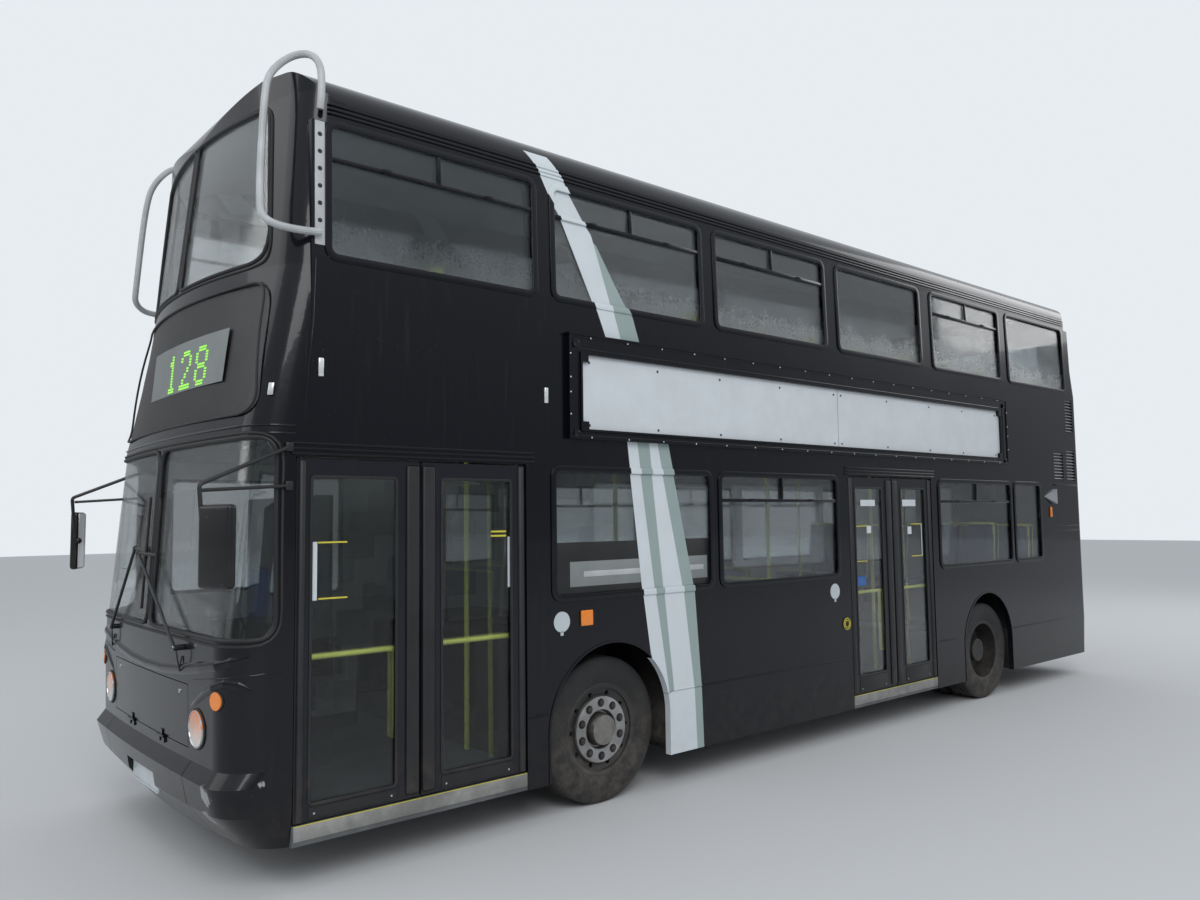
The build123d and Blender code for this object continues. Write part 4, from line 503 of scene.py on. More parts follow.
# %% Node finishes
FINISH_OF = {
    body_paint: ["lower_panels", "window_pillars", "deck_bands", "roof", "front_panel", "front_flap",
                 "front_bumper", "front_moulding", "rear_panel", "engine_cover", "windscreen_frame",
                 "advert_frame", "window_frames"],
    door_paint: ["front_leaf_a", "front_leaf_b", "exit_leaf_a", "exit_leaf_b"],
    window_glass: ["side_glass", "rear_window"],
    screen_glass: ["windscreens"],
    door_glass: ["front_leaf_a_glass", "front_leaf_b_glass", "exit_leaf_a_glass", "exit_leaf_b_glass"],
    chassis_black: ["chassis_frame", "axles", "tanks", "wheelhouses", "knuckle_left", "knuckle_right"],
    engine_iron: ["engine"],
    floor_vinyl: ["lower_floor", "upper_floor", "stairs"],
    seat_cloth: ["passenger_seats", "driver_seat"],
    cab_trim: ["cab_fittings"],
    rail_yellow: ["handrails"],
    guard_grey: ["tree_guards"],
    board_white: ["advert_board"],
    black_plastic: ["mirrors", "wipers", "steering_wheel", "destination_glass"],
    lamp_clear: ["lamps"],
    rim_paint: ["front_wheel_left", "front_wheel_right", "rear_wheels_left", "rear_wheels_right"],
    tyre_rubber: ["front_tyre_left", "front_tyre_right", "rear_tyres_left", "rear_tyres_right"],
}
for finish, names in FINISH_OF.items():
    for name in names:
        mesh = nodes[name].data
        mesh.materials.clear()
        mesh.materials.append(finish)
left_over = set(nodes) - {name for names in FINISH_OF.values() for name in names}
print("nodes without a finish:", sorted(left_over))

# %% [markdown]
# ## Shaping helpers
#
# Most outside fittings follow the body's own curve: the nose is bowed in plan with rounded corners, and
# the upper deck leans in towards the roof. Instead of bending each piece by hand, a piece is drawn flat and
# then laid on the body. The body's plan is a short table of heights, the same one that the CAD shell uses.

# %% The body's plan
# Height, nose x, bow radius, corner radius and half width
FRONT_ROWS = [(0.235, 4.910, 8.0, 0.25, 1.235),
              (0.42, 5.052, 12.0, 0.22, 1.255),
              (0.57, 5.075, 20.0, 0.2, 1.26),
              (0.64, 5.026, 20.0, 0.22, 1.26),
              (1.04, 5.036, 20.0, 0.22, 1.26),
              (1.275, 5.032, 20.0, 0.22, 1.26),
              (2.33, 4.972, 9.0, 0.21, 1.26),
              (3.25, 4.903, 3.5, 0.21, 1.258),
              (4.225, 4.798, 4.0, 0.21, 1.233),
              (4.5, 4.798, 4.0, 0.21, 1.233)]


def row_at(z):
    """Nose x, bow, corner and half width at a height."""
    z = min(max(z, FRONT_ROWS[0][0]), FRONT_ROWS[-1][0])
    for low, high in zip(FRONT_ROWS, FRONT_ROWS[1:]):
        if z <= high[0]:
            share = (z - low[0]) / (high[0] - low[0])
            return [a + share * (b - a) for a, b in zip(low[1:], high[1:])]
    return list(FRONT_ROWS[-1][1:])


def side_y(z):
    """Half the body's width at a height."""
    return row_at(z)[3]


print("half width at the roof's edge:", round(side_y(4.14), 4))

# %% Points on the nose
def front_arcs(z):
    """The nose outline at a height: bow centre, corner centre, the angle between them and both radii."""
    nose, bow, corner, half = row_at(z)
    corner_y = half - corner
    bow_x = nose - bow
    corner_x = bow_x + math.sqrt((bow - corner) ** 2 - corner_y ** 2)
    return bow_x, corner_x, corner_y, math.atan2(corner_y, corner_x - bow_x), bow, corner, half


def nose_point(along, z, out=0.0):
    """The point that lies along the nose outline from its middle, at a height and a little way out."""
    bow_x, corner_x, corner_y, turn, bow, corner, half = front_arcs(z)
    side, distance = (1 if along >= 0 else -1), abs(along)
    if distance <= bow * turn:
        angle = distance / bow
        return Vector((bow_x + (bow + out) * math.cos(angle), side * (bow + out) * math.sin(angle), z))
    distance -= bow * turn
    if distance <= corner * (math.pi / 2 - turn):
        angle = turn + distance / corner
        return Vector((corner_x + (corner + out) * math.cos(angle),
                       side * (corner_y + (corner + out) * math.sin(angle)), z))
    return Vector((corner_x - (distance - corner * (math.pi / 2 - turn)), side * (half + out), z))


def along_at(x, z):
    """How far along the nose outline the place with this x lies, on the corner or on the side."""
    bow_x, corner_x, corner_y, turn, bow, corner, half = front_arcs(z)
    whole = bow * turn + corner * (math.pi / 2 - turn)
    if x <= corner_x:
        return whole + corner_x - x
    angle = math.acos(min(1.0, (x - corner_x) / corner))
    if angle >= turn:
        return bow * turn + corner * (angle - turn)
    return bow * math.acos(min(1.0, (x - bow_x) / bow))


print("along the outline from the middle to x 4.5 on the side:", round(along_at(4.5, 1.2), 3))

# %% [markdown]
# ## Making pieces
#
# Every fitting starts as a small bmesh: a block, a disc, a frame or a tube. It is bevelled, laid in its place
# and joined into its piece. The finished piece rides on a CAD body, so that it moves with the joints.

# %% Finished pieces
SHARP_ANGLE = math.radians(35)


def finish_piece(name, shape, finish, body="root", smooth=True):
    """Turns a bmesh into a finished object that rides on a body."""
    bmesh.ops.recalc_face_normals(shape, faces=shape.faces)
    data = bpy.data.meshes.new(name)
    shape.to_mesh(data)
    shape.free()
    data.materials.append(finish)
    if smooth:
        data.shade_smooth()
        data.set_sharp_from_angle(angle=SHARP_ANGLE)
    piece = add_object(name, data)
    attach(piece, body)
    print(name + ":", len(data.polygons), "faces, on", body)
    return piece


def join_into(shape, other):
    """Adds a copy of one bmesh to another and frees it."""
    carrier = bpy.data.meshes.new("carrier")
    other.to_mesh(carrier)
    other.free()
    shape.from_mesh(carrier)
    bpy.data.meshes.remove(carrier)


# %% Blocks and discs
def soften(part, geom, offset, segments=2, affect="EDGES"):
    """Rounds off edges, or corners in a flat outline where affect says VERTICES."""
    bmesh.ops.bevel(part, geom=geom, offset=offset, segments=segments, profile=0.5, affect=affect,
                    material=-1)


def add_block(shape, low, high, bevel=0.0, segments=2, place=None):
    """A bevelled box between two corners."""
    low, high = Vector(low), Vector(high)
    part = bmesh.new()
    bmesh.ops.create_cube(part, size=1.0)
    bmesh.ops.scale(part, vec=high - low, verts=part.verts)
    bmesh.ops.translate(part, vec=(low + high) / 2, verts=part.verts)
    if bevel:
        soften(part, part.edges[:], bevel, segments)
    if place:
        place(part)
    join_into(shape, part)


def add_round(shape, centre, radius, depth, axis, segments=24, radius_top=None, bevel=0.0):
    """A disc or short cylinder at a centre, turned to an axis."""
    part = bmesh.new()
    bmesh.ops.create_cone(part, cap_ends=True, segments=segments, radius1=radius,
                          radius2=radius if radius_top is None else radius_top, depth=depth)
    if bevel:
        rim = [edge for edge in part.edges if edge.verts[0].co.z > 0
               and len({round(vert.co.z, 6) for vert in edge.verts}) == 1]
        soften(part, rim, bevel)
    turn = Vector((0, 0, 1)).rotation_difference(Vector(axis)).to_matrix()
    bmesh.ops.rotate(part, verts=part.verts, cent=(0, 0, 0), matrix=turn)
    bmesh.ops.translate(part, vec=centre, verts=part.verts)
    join_into(shape, part)


# %% Flat frames
CORNER_STEPS = 6
CROWN_SHARE = 0.35


def corners(x_range, z_range):
    """The four corners of a rectangle, in order round it."""
    return [(x_range[0], z_range[0]), (x_range[1], z_range[0]), (x_range[1], z_range[1]),
            (x_range[0], z_range[1])]


def raise_faces(part, faces, height):
    """Gives flat faces a height along Y."""
    raised = bmesh.ops.extrude_face_region(part, geom=faces)
    top = [item for item in raised["geom"] if isinstance(item, bmesh.types.BMVert)]
    bmesh.ops.translate(part, vec=(0, height, 0), verts=top)


def add_frame(shape, x_range, z_range, corner, width, height, place):
    """A flat frame with rounded corners, drawn in X and Z with its height along Y, then put in place."""
    part = bmesh.new()
    part.faces.new([part.verts.new((x, 0, z)) for x, z in corners(x_range, z_range)])
    soften(part, part.verts[:], corner, CORNER_STEPS, "VERTICES")
    inner = part.faces[:]
    bmesh.ops.inset_region(part, faces=inner, thickness=width, use_even_offset=True, use_boundary=True)
    bmesh.ops.delete(part, geom=inner, context="FACES")
    raise_faces(part, part.faces[:], height)
    crown = [edge for edge in part.edges if all(vert.co.y > height / 2 for vert in edge.verts)
             and any(abs(face.normal.y) < 0.5 for face in edge.link_faces)]
    soften(part, crown, min(height, width) * CROWN_SHARE, 3)
    place(part)
    join_into(shape, part)


# %% Laying a piece on the body
def on_side(side, lift=0.0):
    """Lays a piece drawn in X and Z, with its height along +Y, on one side of the body."""
    def place(part):
        for vert in part.verts:
            vert.co.y = side * (side_y(vert.co.z) + lift + vert.co.y)
    return place


def on_nose(part):
    """Lays a piece drawn along Y and Z, with its height along +X, round the nose."""
    for vert in part.verts:
        vert.co = nose_point(vert.co.y, vert.co.z, vert.co.x)


# %% Tubes and steps
def tube_shape(points, radius, closed=False, sides=8, smooth=False):
    """A round bar along points, as a bmesh read from a bevelled curve."""
    curve = bpy.data.curves.new("tube", "CURVE")
    curve.dimensions = "3D"
    curve.bevel_depth = radius
    curve.bevel_resolution = max(1, sides // 4)
    curve.use_fill_caps = True
    spline = curve.splines.new("NURBS" if smooth else "POLY")
    spline.points.add(len(points) - 1)
    for spot, point in zip(spline.points, points):
        spot.co = (*point, 1)
    if smooth:
        spline.order_u = 3
        spline.use_endpoint_u = not closed
        spline.resolution_u = 8
    spline.use_cyclic_u = closed
    holder = bpy.data.objects.new("tube", curve)
    mesh = bpy.data.meshes.new_from_object(holder)
    shape = bmesh.new()
    shape.from_mesh(mesh)
    bpy.data.objects.remove(holder)
    bpy.data.curves.remove(curve)
    bpy.data.meshes.remove(mesh)
    bmesh.ops.remove_doubles(shape, verts=shape.verts, dist=0.00001)
    return shape


def add_tube(shape, points, radius, **options):
    """Adds a round bar along points to a bmesh."""
    join_into(shape, tube_shape(points, radius, **options))


def span(start, end, steps):
    """Evenly spaced values from start to end."""
    return [start + (end - start) * step / steps for step in range(steps + 1)]


print("one metre in four steps:", span(0.0, 1.0, 4))

# %% [markdown]
# ## Side windows
#
# Each pane sits in a rounded black moulding. Most upper windows have two narrow hoppers along the top, so
# a bar crosses the pane below them and a short one stands between them. A moulding could be a bent tube, but
# it is wide and flat, so it is a rectangle with an inset, a height and a soft crown, laid on the side.

# %% Window frames and hoppers
UPPER_Z = (3.299, 4.05)
LOWER_Z = (1.366, 2.197)
# X of the rear and front edge, and whether the window has hoppers
UPPER_BAYS = [(3.115, 4.507, True), (1.564, 2.971, True), (0.017, 1.41, True), (-1.52, -0.167, False),
              (-3.127, -1.735, True), (-4.723, -3.307, False)]
LOWER_BAYS = {1: [(1.513, 2.988, False), (-0.068, 1.415, True), (-3.222, -1.735, True),
                  (-3.926, -3.307, False)],
              -1: [(3.64, 4.56, False), (-0.068, 1.415, True), (-1.6, -0.23, True), (-3.222, -1.735, True),
                   (-3.926, -3.307, False)]}
FRAME_LAP = 0.02
FRAME_WIDTH = 0.042
FRAME_CORNER = 0.078
FRAME_HEIGHT = 0.01
HOPPER_DROP = 0.2
HOPPER_BAR = 0.026
HOPPER_BACK = -0.012
HOPPER_FACE = 0.006


def add_window(shape, side, rear, front, z_range, hoppers):
    """Moulding of one side window, with the bars of its hoppers."""
    low, high = z_range
    add_frame(shape, (rear - FRAME_LAP, front + FRAME_LAP), (low - FRAME_LAP, high + FRAME_LAP), FRAME_CORNER,
              FRAME_WIDTH, FRAME_HEIGHT, place=on_side(side))
    if not hoppers:
        return
    sill = high - HOPPER_DROP
    half_bar = HOPPER_BAR / 2
    add_block(shape, (rear, HOPPER_BACK, sill - half_bar), (front, HOPPER_FACE, sill + half_bar), 0.005,
              place=on_side(side))
    middle = (rear + front) / 2
    add_block(shape, (middle - half_bar, HOPPER_BACK, sill), (middle + half_bar, HOPPER_FACE, high), 0.005,
              place=on_side(side))
    for start, end in ((rear, middle), (middle, front)):
        catch = (start + end) / 2
        add_block(shape, (catch - 0.03, 0.004, sill - 0.006), (catch + 0.03, 0.016, sill + 0.014), 0.003,
                  place=on_side(side))


# %% Mouldings of both sides
window_count = 0
for side, label in ((1, "left"), (-1, "right")):
    frames = bmesh.new()
    for rear, front, hoppers in UPPER_BAYS:
        add_window(frames, side, rear, front, UPPER_Z, hoppers)
    for rear, front, hoppers in LOWER_BAYS[side]:
        add_window(frames, side, rear, front, LOWER_Z, hoppers)
    window_count += len(UPPER_BAYS) + len(LOWER_BAYS[side])
    mouldings = finish_piece("mouldings_" + label, frames, body_paint)
    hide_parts("window_frames")
print("windows framed:", window_count)

# %% [markdown]
# ## Gutter ribs
#
# Three ribs run along the roof's edge above the windows. Bump could draw them, but from the ground they show
# against the light, so each is a thin bevelled bar laid on the side.

# %% Gutter ribs under the roof's edge
GUTTER_RIBS = (4.108, 4.132, 4.158)
gutter = bmesh.new()
for side in (1, -1):
    for z in GUTTER_RIBS:
        add_block(gutter, (-4.80, -0.002, z - 0.008), (4.51, 0.009, z + 0.008), 0.004, place=on_side(side))
finish_piece("gutter_ribs", gutter, body_paint)

# %% [markdown]
# ## Seats
#
# The CAD seats are plain benches. Here each is two cushions and two backs: closed pads that are fullest in
# the middle, pull in between their corners and have sewn channels. They stand on steel legs, and a bent rail
# runs up the sides of the backs and over them. A bevelled box would stay flat, so each pad is a divided cube
# whose points a formula moves.

# %% Places of the seats
SEAT_PITCH = 0.735
UPPER_FLOOR = 2.38
LOWER_FLOOR = 0.34
STAIR_WELL = (1.4, 3.45)
# X, side, height of the floor that the seat is measured from, and height of what its legs stand on
SEAT_ROWS = [(x, side, UPPER_FLOOR, UPPER_FLOOR)
             for x in [3.85 - SEAT_PITCH * row for row in range(12)] for side in (1, -1)
             if side == 1 or not STAIR_WELL[0] < x < STAIR_WELL[1]]
SEAT_ROWS += [(x, side, LOWER_FLOOR, LOWER_FLOOR) for x in (1.25, 0.52) for side in (1, -1)]
SEAT_ROWS += [(-0.7, -1, LOWER_FLOOR, LOWER_FLOOR)]
SEAT_ROWS += [(-2.9, side, 0.77, 1.1) for side in (1, -1)] + [(-3.7, side, 0.74, 0.74) for side in (1, -1)]
print("seats:", 2 * len(SEAT_ROWS))

# %% A crowned pad
PAD_STEPS = 8


def add_pad(shape, centre, size, tilt):
    """A crowned pad with two sewn channels, tilted about Y."""
    part = bmesh.new()
    bmesh.ops.create_cube(part, size=2.0)
    bmesh.ops.subdivide_edges(part, edges=part.edges[:], cuts=PAD_STEPS, use_grid_fill=True)
    for vert in part.verts:
        u, v, w = vert.co
        crown = (1 - u ** 4) * (1 - v ** 4)
        channel = sum(math.exp(-((v - place) / 0.07) ** 2) for place in (-0.35, 0.35))
        thick = 0.5 + 0.5 * crown ** 0.5 - (0.10 * channel * crown if w > 0 else 0.0)
        vert.co = (u * (1 - 0.03 * (1 - v * v)), v * (1 - 0.02 * (1 - u * u)), w * thick)
    bmesh.ops.scale(part, vec=Vector(size) / 2, verts=part.verts)
    bmesh.ops.rotate(part, verts=part.verts, cent=(0, 0, 0), matrix=Matrix.Rotation(tilt, 3, "Y"))
    bmesh.ops.translate(part, vec=centre, verts=part.verts)
    join_into(shape, part)


# %% Seats
cushions, backs, legs = bmesh.new(), bmesh.new(), bmesh.new()
for x, side, floor, foot in SEAT_ROWS:
    for y in (0.56, 0.98):
        add_pad(cushions, (x + 0.2, side * y, floor + 0.385), (0.44, 0.4, 0.09), 0.0)
        add_pad(backs, (x - 0.075, side * y, floor + 0.70), (0.60, 0.4, 0.085), math.radians(82))
    for y in (0.5, 1.04):
        add_tube(legs, [(x + 0.1, side * y, foot + 0.002), (x + 0.1, side * y, floor + 0.345)], 0.018)
    add_tube(legs, [(x - 0.04, side * 0.37, floor + 0.36), (x - 0.10, side * 0.37, floor + 0.99),
                    (x - 0.10, side * 0.45, floor + 1.0), (x - 0.10, side * 1.1, floor + 1.0),
                    (x - 0.10, side * 1.17, floor + 0.99), (x - 0.04, side * 1.17, floor + 0.36)], 0.014)
seat_cushions = finish_piece("seat_cushions", cushions, seat_cloth)
seat_backs = finish_piece("seat_backs", backs, seat_cloth)
seat_legs = finish_piece("seat_legs", legs, rail_yellow)
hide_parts("passenger_seats")

# %% [markdown]
# ## Tyres
#
# The road tyres get their four grooves from one profile, turned about the axle. The grain of the rubber is
# only bump, because from a step away it is no more than a texture.

# %% The tyre's section
# Radius and offset from the tyre's middle plane, from bead to bead across the tread
TYRE_SECTION = [(0.288, -0.098), (0.30, -0.118), (0.34, -0.132), (0.385, -0.1375), (0.42, -0.134),
                (0.45, -0.124), (0.466, -0.117), (0.474, -0.108), (0.4765, -0.098), (0.477, -0.073),
                (0.466, -0.071), (0.466, -0.064), (0.4772, -0.062), (0.4776, -0.030), (0.465, -0.028),
                (0.465, -0.021), (0.478, -0.019)]
SPIN_STEPS = 96


def spun(points, centre_x, centre_z, middle_y):
    """A profile of radius and offset turned about an axle that runs along Y."""
    part = bmesh.new()
    spots = [part.verts.new((radius, offset, 0)) for radius, offset in points]
    edges = [part.edges.new(pair) for pair in zip(spots, spots[1:])]
    bmesh.ops.spin(part, geom=spots + edges, cent=(0, 0, 0), axis=(0, 1, 0), dvec=(0, 0, 0),
                   angle=math.tau, steps=SPIN_STEPS, use_merge=True, use_duplicate=False)
    bmesh.ops.remove_doubles(part, verts=part.verts, dist=0.00005)
    bmesh.ops.translate(part, vec=(centre_x, middle_y, centre_z), verts=part.verts)
    return part


# %% Tyres
TYRE_RADIUS = 0.478
FRONT_AXLE_X = 2.52
REAR_AXLE_X = -2.63
FRONT_TYRE_Y = 1.04
whole_section = TYRE_SECTION + [(radius, -offset) for radius, offset in reversed(TYRE_SECTION)]
tyre_places = {"front_tyre_left": (FRONT_AXLE_X, [FRONT_TYRE_Y], "front_wheel_left"),
               "front_tyre_right": (FRONT_AXLE_X, [-FRONT_TYRE_Y], "front_wheel_right"),
               "rear_tyres_left": (REAR_AXLE_X, [1.07, 0.755], "rear_wheels_left"),
               "rear_tyres_right": (REAR_AXLE_X, [-1.07, -0.755], "rear_wheels_right")}
for name, (axle_x, middles, body) in tyre_places.items():
    tyre = bmesh.new()
    for middle in middles:
        join_into(tyre, spun(whole_section, axle_x, TYRE_RADIUS, middle))
    piece = finish_piece("tread_" + name, tyre, tyre_rubber, body=body)
    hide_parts(name)
print("tyres spun:", len(tyre_places))

# %% [markdown]
# ## Where things lie on the nose
#
# A fitting on the front is measured across the bus and up. The next helper finds how far along the bowed
# nose that is, so rubbers and rims can be drawn as paths in front view and then follow the surface.

# %% Paths on the nose
def along_of(y, z):
    """How far along the nose outline the point lies that is y across the bus."""
    bow_x, corner_x, corner_y, turn, bow, corner, half = front_arcs(z)
    joint_y = bow * math.sin(turn)
    if abs(y) <= joint_y:
        return math.asin(y / bow) * bow
    angle = math.asin(min(1.0, (abs(y) - corner_y) / corner))
    return math.copysign(bow * turn + corner * (angle - turn), y)


def rounded(points, radius, steps=5):
    """A closed outline with every corner drawn as a small curve."""
    path = []
    for before, here, after in zip(points[-1:] + points[:-1], points, points[1:] + points[:1]):
        before, here, after = Vector(before), Vector(here), Vector(after)
        start = here + (before - here).normalized() * min(radius, (before - here).length / 2)
        end = here + (after - here).normalized() * min(radius, (after - here).length / 2)
        for share in span(0.0, 1.0, steps):
            path.append((1 - share) ** 2 * start + 2 * share * (1 - share) * here + share ** 2 * end)
    return path


def divided(path, step, closed=True):
    """A path with points added on its long runs, so that it can bend with the nose."""
    dense = []
    for start, end in zip(path, path[1:] + (path[:1] if closed else [])):
        pieces = max(1, round((end - start).length / step))
        dense += [start.lerp(end, share / pieces) for share in range(pieces)]
    return dense if closed else dense + path[-1:]


# %% Beads and sheets on the nose
RING_STEP = 0.08
LINE_STEP = 0.06
SHEET_COLUMNS, SHEET_ROWS = 20, 3


def nose_ring(shape, outline, radius, corner, lift, across=True):
    """A rubber or rim round an outline on the nose, given across or along it and up."""
    path = divided(rounded(outline, corner), RING_STEP)
    spots = [nose_point(along_of(spot.x, spot.y) if across else spot.x, spot.y, lift) for spot in path]
    add_tube(shape, spots, radius, closed=True)


def nose_line(shape, points, radius, lift):
    """An open bead or seam along points given along the nose and up."""
    path = divided([Vector(point) for point in points], LINE_STEP, closed=False)
    add_tube(shape, [nose_point(spot.x, spot.y, lift) for spot in path], radius)


def nose_sheet(shape, along_range, z_range, lift, thickness):
    """A thin sheet that follows the nose."""
    part = bmesh.new()
    bmesh.ops.create_grid(part, x_segments=SHEET_COLUMNS, y_segments=SHEET_ROWS, size=0.5)
    for vert in part.verts:
        along = along_range[0] + (vert.co.x + 0.5) * (along_range[1] - along_range[0])
        z = z_range[0] + (vert.co.y + 0.5) * (z_range[1] - z_range[0])
        vert.co = nose_point(along, z, lift)
    bmesh.ops.recalc_face_normals(part, faces=part.faces)
    bmesh.ops.solidify(part, geom=part.faces[:], thickness=thickness)
    join_into(shape, part)


print("along the outline from the middle to y 1.259:", round(along_of(1.259, 1.2), 3))

# %% [markdown]
# ## Screen rubbers and seams
#
# Both windscreens and the sign's pane are held by black rubber. A rubber is a bead of one thickness that
# follows an outline, so it is a tube on a closed path. The panes meet at a bar in the middle of the bus.
# The seams of the mouldings are open beads made the same way.

# %% Screen rubbers
SCREEN_X = 4.767
SCREEN_Z = (1.287, 2.312)
SIGN = [(1.18, 2.44), (1.075, 3.17), (-1.075, 3.17), (-1.18, 2.44)]
UPPER_SCREEN = [(0.022, 3.285), (0.9, 3.292), (0.99, 3.325), (1.022, 3.42), (0.905, 4.195), (0.022, 4.212)]
screen_rubber = bmesh.new()
for side in (1, -1):
    low, high = along_at(SCREEN_X, SCREEN_Z[0]), along_at(SCREEN_X, SCREEN_Z[1])
    pane = [(side * 0.022, SCREEN_Z[0]), (side * low, SCREEN_Z[0]), (side * high, SCREEN_Z[1]),
            (side * 0.022, SCREEN_Z[1])]
    nose_ring(screen_rubber, pane, 0.012, 0.11, 0.0, across=False)
    nose_ring(screen_rubber, [(side * y, z) for y, z in UPPER_SCREEN], 0.011, 0.05, 0.0)
whole_low = [(-low - 0.03, SCREEN_Z[0] - 0.028), (low + 0.03, SCREEN_Z[0] - 0.028),
             (high + 0.03, SCREEN_Z[1] + 0.024), (-high - 0.03, SCREEN_Z[1] + 0.024)]
nose_ring(screen_rubber, whole_low, 0.009, 0.16, 0.001, across=False)
whole_top = [(-1.05, 3.30), (-0.92, 3.265), (0.92, 3.265), (1.05, 3.30), (0.93, 4.213), (-0.93, 4.213)]
nose_ring(screen_rubber, whole_top, 0.008, 0.12, 0.001)
nose_ring(screen_rubber, SIGN, 0.007, 0.13, 0.002)
finish_piece("screen_rubbers", screen_rubber, rubber)

# %% Seams of the front mouldings
BROW_SEAMS = (2.334, 2.375)
seams = bmesh.new()
for z in BROW_SEAMS:
    half = along_at(4.68, z)
    nose_line(seams, [(-half, z), (half, z)], 0.006, 0.001)
CREASE = [(0.792, 1.058), (1.052, 1.093), (1.19, 1.108), (1.37, 1.121), (1.47, 1.124)]
SIDE_SEAM = [(4.578, 3.28), (4.588, 2.95), (4.629, 2.512)]
for side in (1, -1):
    nose_line(seams, [(side * along, z) for along, z in CREASE], 0.004, 0.0)
    add_tube(seams, [(x, side * (side_y(z) + 0.001), z) for x, z in SIDE_SEAM], 0.004)
finish_piece("front_seams", seams, body_paint)

# %% [markdown]
# ## The sign
#
# The destination sign is a board of small green lamps in a grey window. Each lit dot is a short stud of six
# sides laid on the nose, so the number is real geometry. A font of five by seven cells gives the digits, and
# each cell is four dots.

# %% Sign window and its number
sign_window = bmesh.new()
nose_sheet(sign_window, (along_of(-0.40, 2.79), along_of(0.80, 2.79)), (2.645, 2.943), -0.0025, 0.0015)
finish_piece("sign_window", sign_window, sign_grey)
FONT = {"1": "00100 01100 00100 00100 00100 00100 01110",
        "2": "01110 10001 00001 00010 00100 01000 11111",
        "8": "01110 10001 10001 01110 10001 10001 01110"}
ROUTE = "128"
DOT_PITCH = 0.0165
DOT_RADIUS = 0.0062
DIGIT_STEP = 14
FIRST_DOT = (-0.035, 2.876)
dots = bmesh.new()
for place, digit in enumerate(ROUTE):
    for row, cells in enumerate(FONT[digit].split()):
        for column, cell in enumerate(cells):
            if cell == "0":
                continue
            for half_row in (0, 1):
                for half_column in (0, 1):
                    y = FIRST_DOT[0] + (place * DIGIT_STEP + column * 2 + half_column) * DOT_PITCH
                    z = FIRST_DOT[1] - (row * 2 + half_row) * DOT_PITCH
                    spot = nose_point(along_of(y, z), z, -0.0005)
                    add_round(dots, spot, DOT_RADIUS, 0.003, (1, 0, 0), segments=6)
finish_piece("route_number", dots, led_green, smooth=False)
print("sign dots lit:", sum(FONT[d].count("1") for d in ROUTE) * 4)

# %% [markdown]
# ## Lamps, plate and small front fittings
#
# Each headlamp has a dark rim and a bright inner ring, and the round turn lamp above it has a rim of its own.
# The number plate is a blank white sheet in the bumper's recess, on a pale lower lip. A ring primitive would
# stand off the bowed nose, so a rim is a tube on a circle whose points lie on the nose.

# %% Lamp rims
HEADLAMP = (0.857, 0.817)
TURN_LAMP = (1.098, 0.988)
rims, bright_rims = bmesh.new(), bmesh.new()


def lamp_ring(shape, centre, radius, thickness, lift):
    """A rim round a lamp on the nose."""
    path = []
    for turn in span(0.0, math.tau, 40)[:-1]:
        y, z = centre[0] + radius * math.cos(turn), centre[1] + radius * math.sin(turn)
        path.append(nose_point(y, z, lift))
    add_tube(shape, path, thickness, closed=True)


for side in (1, -1):
    headlamp = (along_of(side * HEADLAMP[0], HEADLAMP[1]), HEADLAMP[1])
    lamp_ring(rims, headlamp, 0.101, 0.006, 0.002)
    lamp_ring(bright_rims, headlamp, 0.092, 0.0035, 0.012)
    lamp_ring(rims, (side * TURN_LAMP[0], TURN_LAMP[1]), 0.049, 0.005, 0.002)
finish_piece("lamp_rims", rims, rubber)
finish_piece("lamp_inner_rims", bright_rims, chrome)

# %% Plate, locks and bumper trim
# Across, height, how far out the nut lies, and how far out the washer tube starts
WIPER_PIVOTS = [(0.64, 1.215, 0.052, 0.04), (-0.767, 1.215, 0.034, 0.025)]
plate = bmesh.new()
add_block(plate, (5.0202, -0.26, 0.3745), (5.0262, 0.26, 0.4855), 0.0015)
add_block(plate, (5.0202, -0.262, 0.3682), (5.034, 0.262, 0.3735), 0.001)
finish_piece("blank_plate", plate, board_white)
fittings = bmesh.new()
for y in (-0.2, 0.2):
    add_round(fittings, (5.0265, y, 0.43), 0.006, 0.003, (1, 0, 0), segments=12)
for y, z, out, _ in WIPER_PIVOTS:
    add_round(fittings, nose_point(along_of(y, z), z, out), 0.013, 0.016, (1, 0, 0), segments=6)
finish_piece("front_nuts", fittings, chrome)
flap_locks = bmesh.new()
for y in (-0.6, 0.6):
    add_round(flap_locks, nose_point(along_of(y, 0.98), 0.98, 0.001), 0.012, 0.005, (1, 0, 0), segments=16)
finish_piece("flap_locks", flap_locks, chrome, body="front_flap")

# %% [markdown]
# ## Washer tubes
#
# A thin rubber tube loops at each wiper pivot and is fixed at both ends. One smooth curve guided by six
# points is enough. The points are given from the pivot, across, up and out, so the loop follows the nose.

# %% Washer tubes at the wiper pivots
washer = bmesh.new()
for y, z, _, out in WIPER_PIVOTS:
    loop = [(0.0, 0.0, out), (0.02, -0.05, out), (0.015, -0.11, 0.022), (-0.01, -0.13, 0.014),
            (-0.02, -0.09, 0.008), (-0.01, -0.05, 0.004)]
    add_tube(washer, [nose_point(along_of(y + across, z), z + rise, lift) for across, rise, lift in loop],
             0.004, smooth=True)
finish_piece("washer_tubes", washer, rubber)

# %% [markdown]
# ## Mirrors and tree guards
#
# The CAD mirrors and guards have straight runs between their bends. The real tubes are bent cold, with a
# soft radius, so each bent tube is drawn again as one smooth curve guided by the same places. The mirror head
# is a moulded shell with full edges, and its glass looks back along the side.

